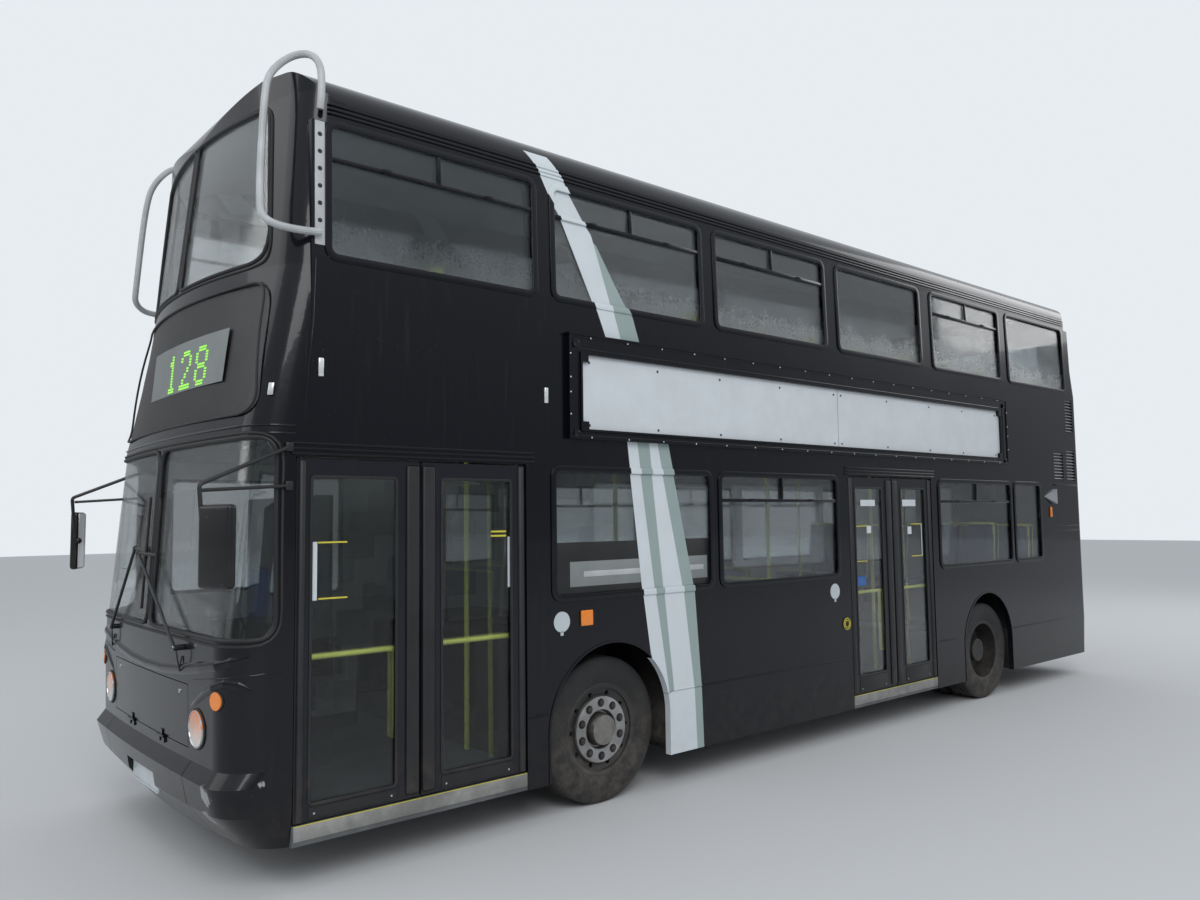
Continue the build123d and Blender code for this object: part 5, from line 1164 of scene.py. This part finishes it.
# %% Mirrors
MIRROR_BEND = (5.18, 1.34, 2.06)
MIRROR_CLAMP = (5.155, 1.34, 1.765)
MIRROR_HEAD = (0.052, 0.205, 0.395)
MIRROR_FOOT = (4.715, 1.272)
ARM_HEIGHTS = (2.062, 2.262)
MIRROR_TURN = 25
GLASS_MARGIN = 0.012


def moved(matrix):
    """Puts a piece that is drawn round the origin in its place."""
    def place(part):
        bmesh.ops.transform(part, matrix=matrix, verts=part.verts)
    return place


arms, heads, mirror_glass = bmesh.new(), bmesh.new(), bmesh.new()
for side in (1, -1):
    bend = (MIRROR_BEND[0], side * MIRROR_BEND[1], MIRROR_BEND[2])
    clamp = (MIRROR_CLAMP[0], side * MIRROR_CLAMP[1], MIRROR_CLAMP[2])
    foot_x, foot_y = MIRROR_FOOT[0], side * MIRROR_FOOT[1]
    top = Vector((foot_x, foot_y, ARM_HEIGHTS[1]))
    near_bend = top.lerp(Vector(bend), 0.93)
    add_tube(arms, [top, top.lerp(Vector(bend), 0.5), near_bend, bend, Vector(bend).lerp(Vector(clamp), 0.15),
                    clamp], 0.011, smooth=True)
    add_tube(arms, [(foot_x, foot_y, ARM_HEIGHTS[0]), (5.165, side * 1.338, 2.032)], 0.009)
    for z in ARM_HEIGHTS:
        add_block(arms, (foot_x - 0.02, foot_y - 0.0115, z - 0.024),
                  (foot_x + 0.02, foot_y + 0.0115, z + 0.024), 0.006)
    bmesh.ops.create_uvsphere(heads, u_segments=20, v_segments=12, radius=0.024,
                              matrix=Matrix.Translation((5.135, side * 1.345, 1.765)))
    turn = Matrix.Rotation(math.radians(side * MIRROR_TURN), 4, "Z")
    put = moved(Matrix.Translation((5.12, side * 1.425, 1.765)) @ turn)
    half = Vector(MIRROR_HEAD) / 2
    add_block(heads, -half, half, 0.02, 4, place=put)
    add_block(mirror_glass, (-half.x - 0.001, -half.y + GLASS_MARGIN, -half.z + GLASS_MARGIN),
              (-half.x + 0.004, half.y - GLASS_MARGIN, half.z - GLASS_MARGIN), 0.002, place=put)
mirror_arms = finish_piece("mirror_arms", arms, black_plastic)
finish_piece("mirror_heads", heads, mirror_shell)
finish_piece("mirror_glasses", mirror_glass, chrome)
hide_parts("mirrors")

# %% Tree guards
# X and z along the tube, and how far out each of these points lies
GUARD_PATH = [(4.56, 3.42), (4.70, 3.395), (4.845, 3.44), (4.85, 3.56), (4.81, 4.18), (4.76, 4.33),
              (4.64, 4.46), (4.56, 4.45), (4.56, 4.29), (4.56, 4.105)]
GUARD_Y = [side_y(3.42) + 0.0203, 1.302, 1.215, 1.16, 1.11, 1.06, 1.06, 1.17, 1.296, side_y(4.105) + 0.0203]
PLATE_HOLES = [3.49 + 0.096 * hole for hole in range(6)]
guards, guard_holes = bmesh.new(), bmesh.new()
for side in (1, -1):
    bent = [(x, side * y, z) for (x, z), y in zip(GUARD_PATH, GUARD_Y)]
    add_tube(guards, bent, 0.02, smooth=True, sides=12)
    add_block(guards, (4.527, 0.0003, 3.356), (4.583, 0.0063, 4.045), 0.002, place=on_side(side))
    for z in PLATE_HOLES:
        add_round(guard_holes, (4.555, side * (side_y(z) + 0.006), z), 0.013, 0.0014, (0, 1, 0), segments=16)
guard_tubes = finish_piece("guard_tubes", guards, guard_grey)
finish_piece("guard_plate_holes", guard_holes, rubber)
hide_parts("tree_guards")

# %% [markdown]
# ## Vinyl over glass
#
# The paint carries the bands as a mask. Glass can't, because a pane lets light through all over, so where a
# band crosses a window a thin sheet of vinyl with the band's own outline lies on the pane.

# %% A band's outline on a pane
VINYL_THICKNESS = 0.001
# How far the sheet lies behind the side's own surface, on the upper panes and on the lower one
UPPER_DEPTH = 0.0115
LOWER_DEPTH = 0.0065
BANDED_UPPER_PANE = (1.564, 2.971)
BANDED_LOWER_PANE = (1.513, 2.988)


def band_x(points, z):
    """X of a band's edge at a height."""
    low_to_high = sorted(points, key=lambda point: point[1])
    for (x_low, z_low), (x_high, z_high) in zip(low_to_high, low_to_high[1:]):
        if z <= z_high:
            return x_low + (x_high - x_low) * (z - z_low) / (z_high - z_low)
    return low_to_high[-1][0]


def add_vinyl(shape, side, rear_edge, front_edge, z_range, x_range, depth):
    """A band's outline on one pane, cut off at the pane's edges."""
    rear_run, front_run = [], []
    for z in span(z_range[0], z_range[1], 10):
        rear, front = max(band_x(rear_edge, z), x_range[0]), min(band_x(front_edge, z), x_range[1])
        if front - rear > 0.002:
            rear_run.append((rear, 0, z))
            front_run.append((front, 0, z))
    if len(front_run) < 2:
        return
    part = bmesh.new()
    face = part.faces.new([part.verts.new(spot) for spot in front_run + rear_run[::-1]])
    raise_faces(part, [face], VINYL_THICKNESS)
    on_side(side, -depth)(part)
    join_into(shape, part)


# %% Vinyl on the panes
white_vinyl, grey_vinyl = bmesh.new(), bmesh.new()
up, down = UPPER_EDGES, LOWER_EDGES
for side in (1, -1):
    for z_range in ((3.3, 3.838), (3.862, 4.05)):
        for sheet, rear, front in ((white_vinyl, "white rear", "white front"),
                                   (grey_vinyl, "grey rear", "white rear")):
            add_vinyl(sheet, side, up[rear], up[front], z_range, BANDED_UPPER_PANE, UPPER_DEPTH)
for rear, front, sheet in (("second", "first", white_vinyl), ("third", "second", grey_vinyl),
                           ("fourth", "third", white_vinyl), ("fifth", "fourth", grey_vinyl)):
    add_vinyl(sheet, 1, down[rear], down[front], (1.367, 2.196), BANDED_LOWER_PANE, LOWER_DEPTH)
finish_piece("vinyl_white", white_vinyl, vinyl_white, smooth=False)
finish_piece("vinyl_grey", grey_vinyl, vinyl_grey, smooth=False)

# %% [markdown]
# ## The blanked window
#
# The lower part of the first lower window is closed by a black sheet with a grey panel and a paler slot.
# Three thin blocks, each a little in front of the last, give every edge its own line, and the glass stays
# uncut.

# %% Blanked lower part of the first lower window
blanking, blank_panel, blank_slot = bmesh.new(), bmesh.new(), bmesh.new()
add_block(blanking, (1.514, 1.2485, 1.367), (2.987, 1.2515, 1.722), 0.001)
add_block(blank_panel, (1.56, 1.2517, 1.436), (2.85, 1.2525, 1.597), 0.0003)
add_block(blank_slot, (1.6, 1.2527, 1.497), (2.735, 1.2533, 1.533), 0.0003)
finish_piece("window_blanking", blanking, black_plastic)
finish_piece("window_blank_panel", blank_panel, sign_grey)
finish_piece("window_blank_slot", blank_slot, guard_grey)

# %% [markdown]
# ## Door trim
#
# Each leaf has a rubber finger guard down its free edge, a round post cover down its pivot edge, a rubber
# round its pane, a kick plate with two bolts and a few blank stickers. They ride on the leaf, so they swing
# with it. One loop over the four leaves makes them, because only a few of their places differ.

# %% Door leaves
# X of the front edge, rear edge, pivot, glass rear and glass front, and z of the glass foot
LEAVES = {"front_leaf_a": (4.665, 3.942, 4.665, 4.085, 4.585, 0.43),
          "front_leaf_b": (3.93, 3.208, 3.208, 3.308, 3.8, 0.445),
          "exit_leaf_a": (-0.238, -0.908, -0.238, -0.76, -0.335, 0.495),
          "exit_leaf_b": (-0.922, -1.592, -1.592, -1.49, -1.065, 0.495)}
LEAF_Y = 1.25
GLASS_HEAD = 2.115
SEAL_LAP = 0.006
PANE_Y = 1.2402
STICKER_THICKNESS = 0.0008


def on_leaf(part):
    """Lays a piece drawn in X and Z on a leaf's outer face."""
    bmesh.ops.translate(part, vec=(0, LEAF_Y, 0), verts=part.verts)


for name, (front_x, rear_x, pivot_x, glass_rear, glass_front, foot) in LEAVES.items():
    inward = 1 if pivot_x == rear_x else -1
    free_x = front_x if inward > 0 else rear_x
    seals, kick, bolts = bmesh.new(), bmesh.new(), bmesh.new()
    add_frame(seals, (glass_rear - SEAL_LAP, glass_front + SEAL_LAP),
              (foot - SEAL_LAP, GLASS_HEAD + SEAL_LAP), 0.03, 0.016, 0.005, place=on_leaf)
    guard = sorted((free_x - inward * 0.004, free_x - inward * 0.086))
    add_block(seals, (guard[0], LEAF_Y - 0.004, 0.37), (guard[1], LEAF_Y + 0.013, 2.185), 0.012, 3)
    post_x = pivot_x + inward * 0.03
    add_round(seals, (post_x, LEAF_Y - 0.004, 1.275), 0.021, 1.84, (0, 0, 1), segments=20, bevel=0.004)
    finish_piece(name + "_rubber", seals, door_rubber, body=name)
    add_block(kick, (glass_rear, LEAF_Y + 0.0003, 0.362), (glass_front, LEAF_Y + 0.0028, foot - 0.016),
              0.0006)
    finish_piece(name + "_kick_plate", kick, black_plastic, body=name)
    for x in (glass_rear + 0.03, glass_front - 0.03):
        add_round(bolts, (x, LEAF_Y + 0.004, 0.385), 0.006, 0.003, (0, 1, 0), segments=10)
    finish_piece(name + "_bolts", bolts, chrome, body=name)

# %% Blank stickers on the door panes
# Name, leaf, finish, and the x and z limits of each patch
STICKERS = [
    ("sticker_front_a", "front_leaf_a", board_white, [((4.545, 4.571), (1.465, 1.77))]),
    ("sticker_front_a_marks", "front_leaf_a", mark_yellow,
     [((4.376, 4.541), (1.762, 1.77)), ((4.373, 4.538), (1.468, 1.476))]),
    ("sticker_front_b", "front_leaf_b", board_white, [((3.312, 3.329), (1.465, 1.77))]),
    ("sticker_front_b_marks", "front_leaf_b", mark_yellow,
     [((3.34, 3.45), (1.798, 1.808)), ((3.34, 3.45), (1.772, 1.782))]),
    ("sticker_exit_a", "exit_leaf_a", board_white,
     [((-0.665, -0.44), (1.953, 2.008)), ((-0.358, -0.346), (1.471, 1.78)),
      ((-0.592, -0.526), (1.714, 1.779))]),
    ("sticker_exit_a_marks", "exit_leaf_a", mark_yellow,
     [((-0.545, -0.36), (1.774, 1.782)), ((-0.53, -0.36), (1.468, 1.476))]),
    ("sticker_exit_a_blue", "exit_leaf_a", mark_blue, [((-0.489, -0.356), (1.261, 1.342))]),
    ("sticker_exit_b", "exit_leaf_b", board_white,
     [((-1.342, -1.114), (1.952, 2.012)), ((-1.437, -1.425), (1.484, 1.787)),
      ((-1.256, -1.191), (1.694, 1.763))]),
    ("sticker_exit_b_marks", "exit_leaf_b", mark_yellow,
     [((-1.425, -1.25), (1.781, 1.789)), ((-1.425, -1.25), (1.484, 1.492))]),
]
for name, body, finish, patches in STICKERS:
    sheet = bmesh.new()
    for (x_low, x_high), (z_low, z_high) in patches:
        add_block(sheet, (x_low, PANE_Y, z_low), (x_high, PANE_Y + STICKER_THICKNESS, z_high), 0.0002)
    finish_piece(name, sheet, finish, body=body, smooth=False)

# %% [markdown]
# ## Door sills
#
# Below each door lies a worn alloy sill, and a yellow edge marks the step. Two thin blocks are enough,
# because only their outer faces show.

# %% Door sills
DOORWAYS = ((3.2, 4.67), (-1.6, -0.23))
SILL_GAP = 0.005
SILL_BACK = 1.2565
sills, sill_edges = bmesh.new(), bmesh.new()
for rear, front in DOORWAYS:
    start, end = rear + SILL_GAP, front - SILL_GAP
    add_block(sills, (start, SILL_BACK, 0.262), (end, 1.2595, 0.336), 0.001)
    add_block(sill_edges, (start, SILL_BACK, 0.3362), (end, 1.2598, 0.3402), 0.0008)
finish_piece("door_sills", sills, worn_alloy)
finish_piece("door_sill_edges", sill_edges, mark_yellow)
print("doors trimmed:", len(LEAVES))

# %% [markdown]
# ## Side fittings
#
# Small lamps, blank badges and the rings of the filler. Each is a thin solid laid on the side, because a
# flat patch would catch no light at its edges.

# %% Side lamps and badges
def circle(centre_x, y, centre_z, radius, steps):
    """Points round a circle that faces sideways."""
    return [(centre_x + radius * math.cos(turn), y, centre_z + radius * math.sin(turn))
            for turn in span(0.0, math.tau, steps)[:-1]]


amber, clear, badges, yellow_ring = bmesh.new(), bmesh.new(), bmesh.new(), bmesh.new()
for side in (1, -1):
    add_block(amber, (2.676, 0, 1.184), (2.776, 0.016, 1.284), 0.008, 3, place=on_side(side))
    add_block(amber, (-4.20, 0, 1.825), (-4.158, 0.016, 1.94), 0.008, 3, place=on_side(side))
    for x, z in ((4.545, 2.694), (3.042, 2.659)):
        add_block(clear, (x - 0.015, 0, z - 0.05), (x + 0.015, 0.014, z + 0.05), 0.006, 3,
                  place=on_side(side))
    marker = along_at(4.793, 2.562)
    add_block(clear, (0, side * marker - 0.014, 2.53), (0.012, side * marker + 0.014, 2.595), 0.005, 3,
              place=on_nose)
for x, z in ((2.927, 1.223), (0.001, 1.238)):
    add_round(badges, (x, 1.2608, z), 0.065, 0.0016, (0, 1, 0), segments=36)
    add_block(badges, (x - 0.012, 0, z - 0.086), (x + 0.012, 0.0016, z - 0.06), 0.0005, place=on_side(1))
for radius, out in ((0.047, 0.0075), (0.030, 0.008)):
    add_tube(yellow_ring, circle(-0.148, 1.26 + out, 0.958, radius, 32), 0.0035, closed=True)
finish_piece("amber_lamps", amber, lamp_amber)
finish_piece("marker_lamps", clear, lamp_clear)
finish_piece("blank_badges", badges, badge_grey)
finish_piece("filler_ring", yellow_ring, mark_yellow)

# %% [markdown]
# ## Trim of the advert frame
#
# Rivets hold the frame and screws hold its board. Each is a short cone or cylinder on the frame's face or
# the board's, and two beads follow the frame as rounded rectangles. As geometry they catch the light singly.

# %% Advert frame trim
rivets, screws, trim = bmesh.new(), bmesh.new(), bmesh.new()
FRAME_FACE = 1.2983
BOARD_FACE = 1.2723
RIVET_PITCH = 0.331
RIVET_ROWS = (2.404, 3.062)
END_RIVET_X = (2.864, -3.139)
SCREW_X = (2.689, 2.055, 1.401, 0.686, -0.043, -0.148, -0.858, -1.592, -2.227, -2.909)
SCREW_ROWS = (2.902, 2.486)
ROSETTE_Y = 1.3013
BEAD_Y = 1.2893
rivet_spots = [(2.69 - RIVET_PITCH * step, z) for step in range(18) for z in RIVET_ROWS]
rivet_spots += [(x, z) for z in (2.55, 2.694, 2.792, 2.946) for x in END_RIVET_X]
for x, z in rivet_spots:
    add_round(rivets, (x, FRAME_FACE + 0.001, z), 0.0065, 0.004, (0, 1, 0), segments=10, radius_top=0.003)
for x in SCREW_X:
    for z in SCREW_ROWS:
        add_round(screws, (x, BOARD_FACE + 0.001, z), 0.009, 0.003, (0, 1, 0), segments=12)
add_block(screws, (-0.101, BOARD_FACE, 2.46), (-0.098, BOARD_FACE + 0.0008, 2.949), 0.0002)
for x in (2.8185, -3.075):
    for z in (2.425, 3.0175):
        for radius in (0.011, 0.023):
            add_tube(trim, circle(x, ROSETTE_Y, z, radius, 24), 0.003, closed=True)
for x_range, z_range in (((-3.128, 2.853), (2.414, 3.063)), ((-3.05, 2.79), (2.438, 2.985))):
    outline = rounded(corners(x_range, z_range), 0.01, 2)
    add_tube(trim, [(spot.x, BEAD_Y, spot.y) for spot in outline], 0.004, closed=True)
finish_piece("frame_rivets", rivets, board_white)
finish_piece("board_screws", screws, rubber)
finish_piece("frame_beads", trim, body_paint)
print("rivets on the frame:", len(rivet_spots))

# %% [markdown]
# ## Panel lines
#
# Beads cover the joints between the side's panels, and ribs run over both doors. They are bars laid on the
# side like the gutter's, and they end before the wheel arches, where there is no panel to lie on.

# %% Header and panel lines on the sides
WAIST_BEADS = (1.67, 1.726)
HEADER_RIBS = (2.231, 2.258, 2.285)
SKIRT_SEAM = (0.667, 0.675)
DOOR_HEADERS = ((3.142, 4.70), (-1.655, -0.185))
lines = bmesh.new()
for side in (1, -1):
    add_block(lines, (-4.933, -0.002, 2.184), (-4.302, 0.008, 2.204), 0.004, place=on_side(side))
    for z in WAIST_BEADS:
        add_block(lines, (-4.935, -0.002, z - 0.005), (-4.105, 0.005, z + 0.005), 0.002, place=on_side(side))
    skirt = [(-4.93, -3.16), (3.05, 3.13 if side > 0 else 4.6)]
    skirt += [(-2.1, -1.67), (-0.17, 1.95)] if side > 0 else [(-2.1, 1.95)]
    for rear, front in skirt:
        add_block(lines, (rear, -0.002, SKIRT_SEAM[0]), (front, 0.0045, SKIRT_SEAM[1]), 0.002,
                  place=on_side(side))
for rear, front in DOOR_HEADERS:
    for z in HEADER_RIBS:
        add_block(lines, (rear, 0.004, z - 0.006), (front, 0.011, z + 0.006), 0.004, 3, place=on_side(1))
finish_piece("side_beads", lines, body_paint)

# %% [markdown]
# ## Front wheels
#
# A bright guard ring with ten round holes bolts over the nuts of each front wheel. Ring, nuts and hub are
# one CAD solid with the rim, so each face gets its finish by where it lies: how far from the axle, and how
# far out. The finish follows the shape and needs no new mesh. The nuts and the walls of their holes take the
# black of rubber, as painted shade deep in the holes. The holes are closed in the CAD solid, so ten black
# discs of painted shade, each with its nut, are laid on the ring's face to stand for the open holes.

# %% Wheel finishes by place
def finish_by_place(node_name, finishes, choose):
    """Gives each face of a CAD node one of several finishes, chosen by its middle and its direction."""
    mesh = nodes[node_name].data
    mesh.materials.clear()
    for item in finishes:
        mesh.materials.append(item)
    for polygon in mesh.polygons:
        polygon.material_index = choose(polygon.center, polygon.normal)
    given = [polygon.material_index for polygon in mesh.polygons]
    print(node_name, "faces in each finish:", [given.count(number) for number in range(len(finishes))])


HUB_RADIUS = 0.118
RING_RADII = (0.12, 0.228)
NUT_RADII = (0.138, 0.208)
# How far out from the tyre's middle the hub, the ring's walls and the ring's face begin
HUB_OUT = 0.07
WALL_OUT = 0.1
FACE_OUT = 0.1145


def wheel_zone(centre, normal):
    """The finish number of a place on a front wheel: rim, ring, painted shade in the nut holes, or hub."""
    reach = math.hypot(centre.x - FRONT_AXLE_X, centre.z - TYRE_RADIUS)
    out = abs(centre.y) - FRONT_TYRE_Y
    if reach < HUB_RADIUS and out > HUB_OUT:
        return 3
    over_nuts = NUT_RADII[0] < reach < NUT_RADII[1]
    on_wall = abs(normal.y) < 0.5 and out > WALL_OUT and not over_nuts
    if RING_RADII[0] < reach < RING_RADII[1] and (out > FACE_OUT or on_wall):
        return 1
    # Nuts and hole walls below the ring's face take black rubber as painted shade deep in the holes
    return 2 if over_nuts and out > HUB_OUT else 0


for side in ("left", "right"):
    finish_by_place("front_wheel_" + side, (rim_paint, wheel_metal, rubber, hub_metal), wheel_zone)

# %% Nuts and the painted shade of their holes, on the ring's own circle
NUT_CIRCLE = 0.173
NUT_COUNT = 10
RING_FACE = 1.156
for side, label in ((1, "left"), (-1, "right")):
    sockets, nuts = bmesh.new(), bmesh.new()
    outward = (0, side, 0)
    for turn in [math.tau * (0.25 + step / NUT_COUNT) for step in range(NUT_COUNT)]:
        x, z = FRONT_AXLE_X + NUT_CIRCLE * math.cos(turn), TYRE_RADIUS + NUT_CIRCLE * math.sin(turn)
        shade_disc_at, nut_at, end_at = [(x, side * (RING_FACE + out), z) for out in (0.0006, 0.006, 0.0125)]
        # A black disc of painted shade stands for the dark open hole round each nut
        add_round(sockets, shade_disc_at, 0.028, 0.0014, outward)
        add_round(nuts, nut_at, 0.018, 0.011, outward, segments=6, bevel=0.003)
        add_round(nuts, end_at, 0.010, 0.004, outward, segments=16, bevel=0.001)
    body = "front_wheel_" + label
    finish_piece("painted_hole_shade_" + label, sockets, rubber, body=body)
    finish_piece("wheel_nuts_" + label, nuts, rim_paint, body=body)
print("front wheels finished")

# %% [markdown]
# ## Lamp lenses
#
# All lamps are one CAD node, so the colour of a lens goes by its place, as on the wheels.


# %% Lamp lenses by place
def lens_zone(centre, normal):
    """Amber turn lamps and upper headlamp halves, clear lower halves, red and amber at the tail."""
    if centre.x > 0:
        return 1 if abs(centre.y) > 1.0 or centre.z > 0.835 else 0
    return 2 if centre.z < 1.17 else 1


finish_by_place("lamps", (lamp_clear, lamp_amber, lamp_red), lens_zone)

# %% [markdown]
# ## Louvres, scoop and the insides
#
# The scoop is a paler grey than the body. The same grey lies on the faces of the louvre blades that face up
# and down as a painted highlight, where their edges catch the light. Inside, the walls and ceiling are a
# pale laminate. All of these are faces of CAD shells, told apart by place and direction.

# %% Shell finishes by place
# Rear x, front x, low z and high z of each louvre
LOUVRES = [(-4.888, -4.688, 2.812, 3.212), (-4.577, -4.328, 2.247, 2.575), (-4.888, -4.666, 2.247, 2.611)]
INNER_FACE_Y = 1.216
WALL_THICKNESS = 0.043
RAIL_FACE_Y = 1.2135


def band_zone(centre, normal):
    """Paint outside, laminate inside, a painted highlight in grey on the louvre blades' level faces."""
    if abs(centre.y) < INNER_FACE_Y:
        return 1
    # Outside, the blades' level faces take the grey as a painted highlight where their edges catch the light
    if centre.y > 1.24 and abs(normal.z) > 0.3:
        for rear, front, low, high in LOUVRES:
            if rear < centre.x < front and low < centre.z < high:
                return 2
    return 0


def wall_zone(centre, normal):
    """Paint outside, laminate inside, grey on the scoop."""
    if abs(centre.y) < side_y(centre.z) - WALL_THICKNESS:
        return 1
    return 2 if centre.y > 1.2601 and centre.x < -4.0 and 1.95 < centre.z < 2.16 else 0


for name in LEAVES:
    finish_by_place(name, (door_paint, rail_yellow), lambda centre, normal: int(centre.y < RAIL_FACE_Y))
# On the deck bands the third finish is the louvres' painted highlight, on the pillars the scoop's own grey
finish_by_place("deck_bands", (body_paint, laminate, scoop_and_louvre_highlight_grey), band_zone)
finish_by_place("window_pillars", (body_paint, laminate, scoop_and_louvre_highlight_grey), wall_zone)
finish_by_place("lower_panels", (body_paint, laminate),
                lambda centre, normal: int(abs(centre.y) < INNER_FACE_Y))
finish_by_place("roof", (body_paint, laminate),
                lambda centre, normal: int(normal.z < -0.3 and centre.z > 4.1))

# %% [markdown]
# ## Cab
#
# The driver's seat is a sprung seat with a full cushion and a tall back, on a ribbed rubber boot. It takes
# the place of the plain CAD seat, and its pads use the same crowned form as the saloon's seats. The boot
# could be one spun profile, but it is hardly seen, so it is six discs, narrow and wide by turns.

# %% Driver's seat
DRIVER_Y = -0.71
BOOT_RIB = 0.055
driver_pads, driver_base = bmesh.new(), bmesh.new()
add_pad(driver_pads, (4.27, DRIVER_Y, 0.80), (0.42, 0.44, 0.11), 0.0)
add_pad(driver_pads, (4.06, DRIVER_Y, 1.20), (0.68, 0.44, 0.10), math.radians(86))
add_block(driver_base, (4.09, -0.90, 0.69), (4.43, -0.52, 0.74), 0.01)
for ring in range(6):
    add_round(driver_base, (4.235, DRIVER_Y, 0.375 + BOOT_RIB * ring), 0.13 if ring % 2 else 0.115, BOOT_RIB,
              (0, 0, 1))
driver_seat_pads = finish_piece("driver_seat_pads", driver_pads, seat_cloth)
driver_seat_base = finish_piece("driver_seat_base", driver_base, rubber)
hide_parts("driver_seat")

# %% [markdown]
# ## The back
#
# The photograph doesn't show the back. It gets what such a bus has: a rubber round the upper emergency
# window, a blank plate, rims round the lamp clusters and ribs low on the panel. A splash board hangs behind
# each rear wheel. The tail is bowed, so rubbers, rims and ribs are tubes along points that follow it.

# %% The tail's surface
# Height, tail x and bow radius
REAR_ROWS = [(0.235, 5.085, 12.0), (0.64, 5.105, 12.0), (3.25, 5.105, 12.0), (4.225, 4.985, 9.0)]


def tail_point(y, z, out):
    """A point of the tail that is y across and a little way out."""
    for (low_z, low_x, low_bow), (high_z, high_x, high_bow) in zip(REAR_ROWS, REAR_ROWS[1:]):
        if z <= high_z:
            share = (z - low_z) / (high_z - low_z)
            tail, bow = low_x + share * (high_x - low_x), low_bow + share * (high_bow - low_bow)
            return Vector((-(tail - bow + math.sqrt(bow * bow - y * y)) - out, y, z))
    return Vector((-4.985 - out, y, z))


def tail_ring(shape, y_range, z_range, corner, radius, lift):
    """A closed bead on the tail."""
    path = divided(rounded(corners(y_range, z_range), corner), RING_STEP)
    add_tube(shape, [tail_point(spot.x, spot.y, lift) for spot in path], radius, closed=True)


# %% Rear fittings
LAMP_Y = (1.003, 1.117)
LAMP_Z = (0.878, 1.322)
BUMPER_RIBS = (0.47, 0.50, 0.53)
TAIL_SEAMS = (1.62, 2.36, 3.2)
BOARD_Y, BOARD_HALF = 0.905, 0.307
tail_rubber, tail_plate, tail_beads = bmesh.new(), bmesh.new(), bmesh.new()
tail_ring(tail_rubber, (-0.85, 0.85), (3.33, 3.96), 0.09, 0.012, 0.0)
for side in (1, -1):
    tail_ring(tail_rubber, sorted(side * y for y in LAMP_Y), LAMP_Z, 0.02, 0.004, 0.012)
tail_x = tail_point(0, 1.75, 0).x
add_block(tail_plate, (tail_x - 0.008, -0.26, 1.695), (tail_x - 0.001, 0.26, 1.806), 0.0015)
for z in BUMPER_RIBS:
    for half in ((-1.13, -0.02), (0.02, 1.13)):
        run = [tail_point(y, z - 0.02, 0.002) for y in span(half[0], half[1], 10)]
        add_tube(tail_beads, run, 0.006)
for z in TAIL_SEAMS:
    add_tube(tail_beads, [tail_point(y, z, 0.001) for y in span(-1.14, 1.14, 20)], 0.005)
splash = bmesh.new()
for side in (1, -1):
    middle = side * BOARD_Y
    add_block(splash, (-3.145, middle - BOARD_HALF, 0.24), (-3.135, middle + BOARD_HALF, 0.66), 0.003)
finish_piece("splash_boards", splash, black_plastic)
finish_piece("tail_rubbers", tail_rubber, rubber)
finish_piece("tail_plate", tail_plate, board_white)
finish_piece("tail_beads", tail_beads, body_paint)

# %% [markdown]
# ## The studio
#
# A wide pale floor, a pale world and three large soft lamps. The world is at full strength only to the camera
# and through glass. In reflections it darkens towards the horizon, and as light it is dimmer, so that black
# paint stays black.

# %% Floor
FLOOR_SIZE = 60.0
floor_mesh = bmesh.new()
bmesh.ops.create_grid(floor_mesh, x_segments=1, y_segments=1, size=FLOOR_SIZE)
bmesh.ops.translate(floor_mesh, verts=floor_mesh.verts, vec=(0, 0, -0.001))
floor_data = bpy.data.meshes.new("studio_floor")
floor_mesh.to_mesh(floor_data)
floor_mesh.free()
floor = add_object("studio_floor", floor_data)
floor_data.materials.append(new_material("studio_floor", Base_Color=(0.62, 0.63, 0.64, 1), Roughness=0.8)[0])
print("floor, from its middle to its edge:", FLOOR_SIZE, "m")

# %% World
SKY_COLOUR = (0.80, 0.84, 0.88, 1)
SKY_LIGHT = 0.75
world = bpy.data.worlds.new("studio")
bpy.context.scene.world = world
world.use_nodes = True
sky = world.node_tree
for old in list(sky.nodes):
    sky.nodes.remove(old)
rays = node(sky, "LightPath")
seen = maths(sky, "MAXIMUM", rays.outputs["Is Camera Ray"], rays.outputs["Is Transmission Ray"])
seen = maths(sky, "MAXIMUM", seen, rays.outputs["Is Glossy Ray"])
rise = node(sky, "SeparateXYZ", Vector=sky.nodes.new("ShaderNodeTexCoord").outputs["Generated"]).outputs[2]
gloss_strength = ranged(sky, rise, 0.0, 0.65, 0.35, 1.0)
strength = mixed(sky, rays.outputs["Is Glossy Ray"], (1, 1, 1, 1), gloss_strength)
shown = node(sky, "Background", Color=SKY_COLOUR, Strength=strength)
lighting = node(sky, "Background", Color=SKY_COLOUR, Strength=SKY_LIGHT)
choice = node(sky, "MixShader", Fac=seen, _1=lighting.outputs[0], _2=shown.outputs[0])
node(sky, "OutputWorld", Surface=choice.outputs[0])
print("the world lights with", SKY_LIGHT, "of what the camera sees")


# %% Lamps
def soft_lamp(name, at, aim, size, power):
    """A square area lamp at a place, turned to a point."""
    data = bpy.data.lights.new(name, "AREA")
    data.size = size
    data.energy = power
    lamp = add_object(name, data)
    lamp.location = at
    lamp.rotation_euler = (Vector(aim) - Vector(at)).to_track_quat("-Z", "Y").to_euler()
    print("lamp:", name, power, "W")


soft_lamp("key", (9.0, 12.0, 11.0), (0, 0, 2.0), 8.0, 900)
soft_lamp("fill", (14.0, -4.0, 7.0), (3.0, 0, 2.0), 7.0, 160)
soft_lamp("back", (-14.0, 4.0, 9.0), (-3.0, 0, 2.0), 7.0, 300)

# %% [markdown]
# ## Colour management
#
# The Standard view shows each colour about as it is written.

# %% Colour management
bpy.context.scene.view_settings.view_transform = "Standard"
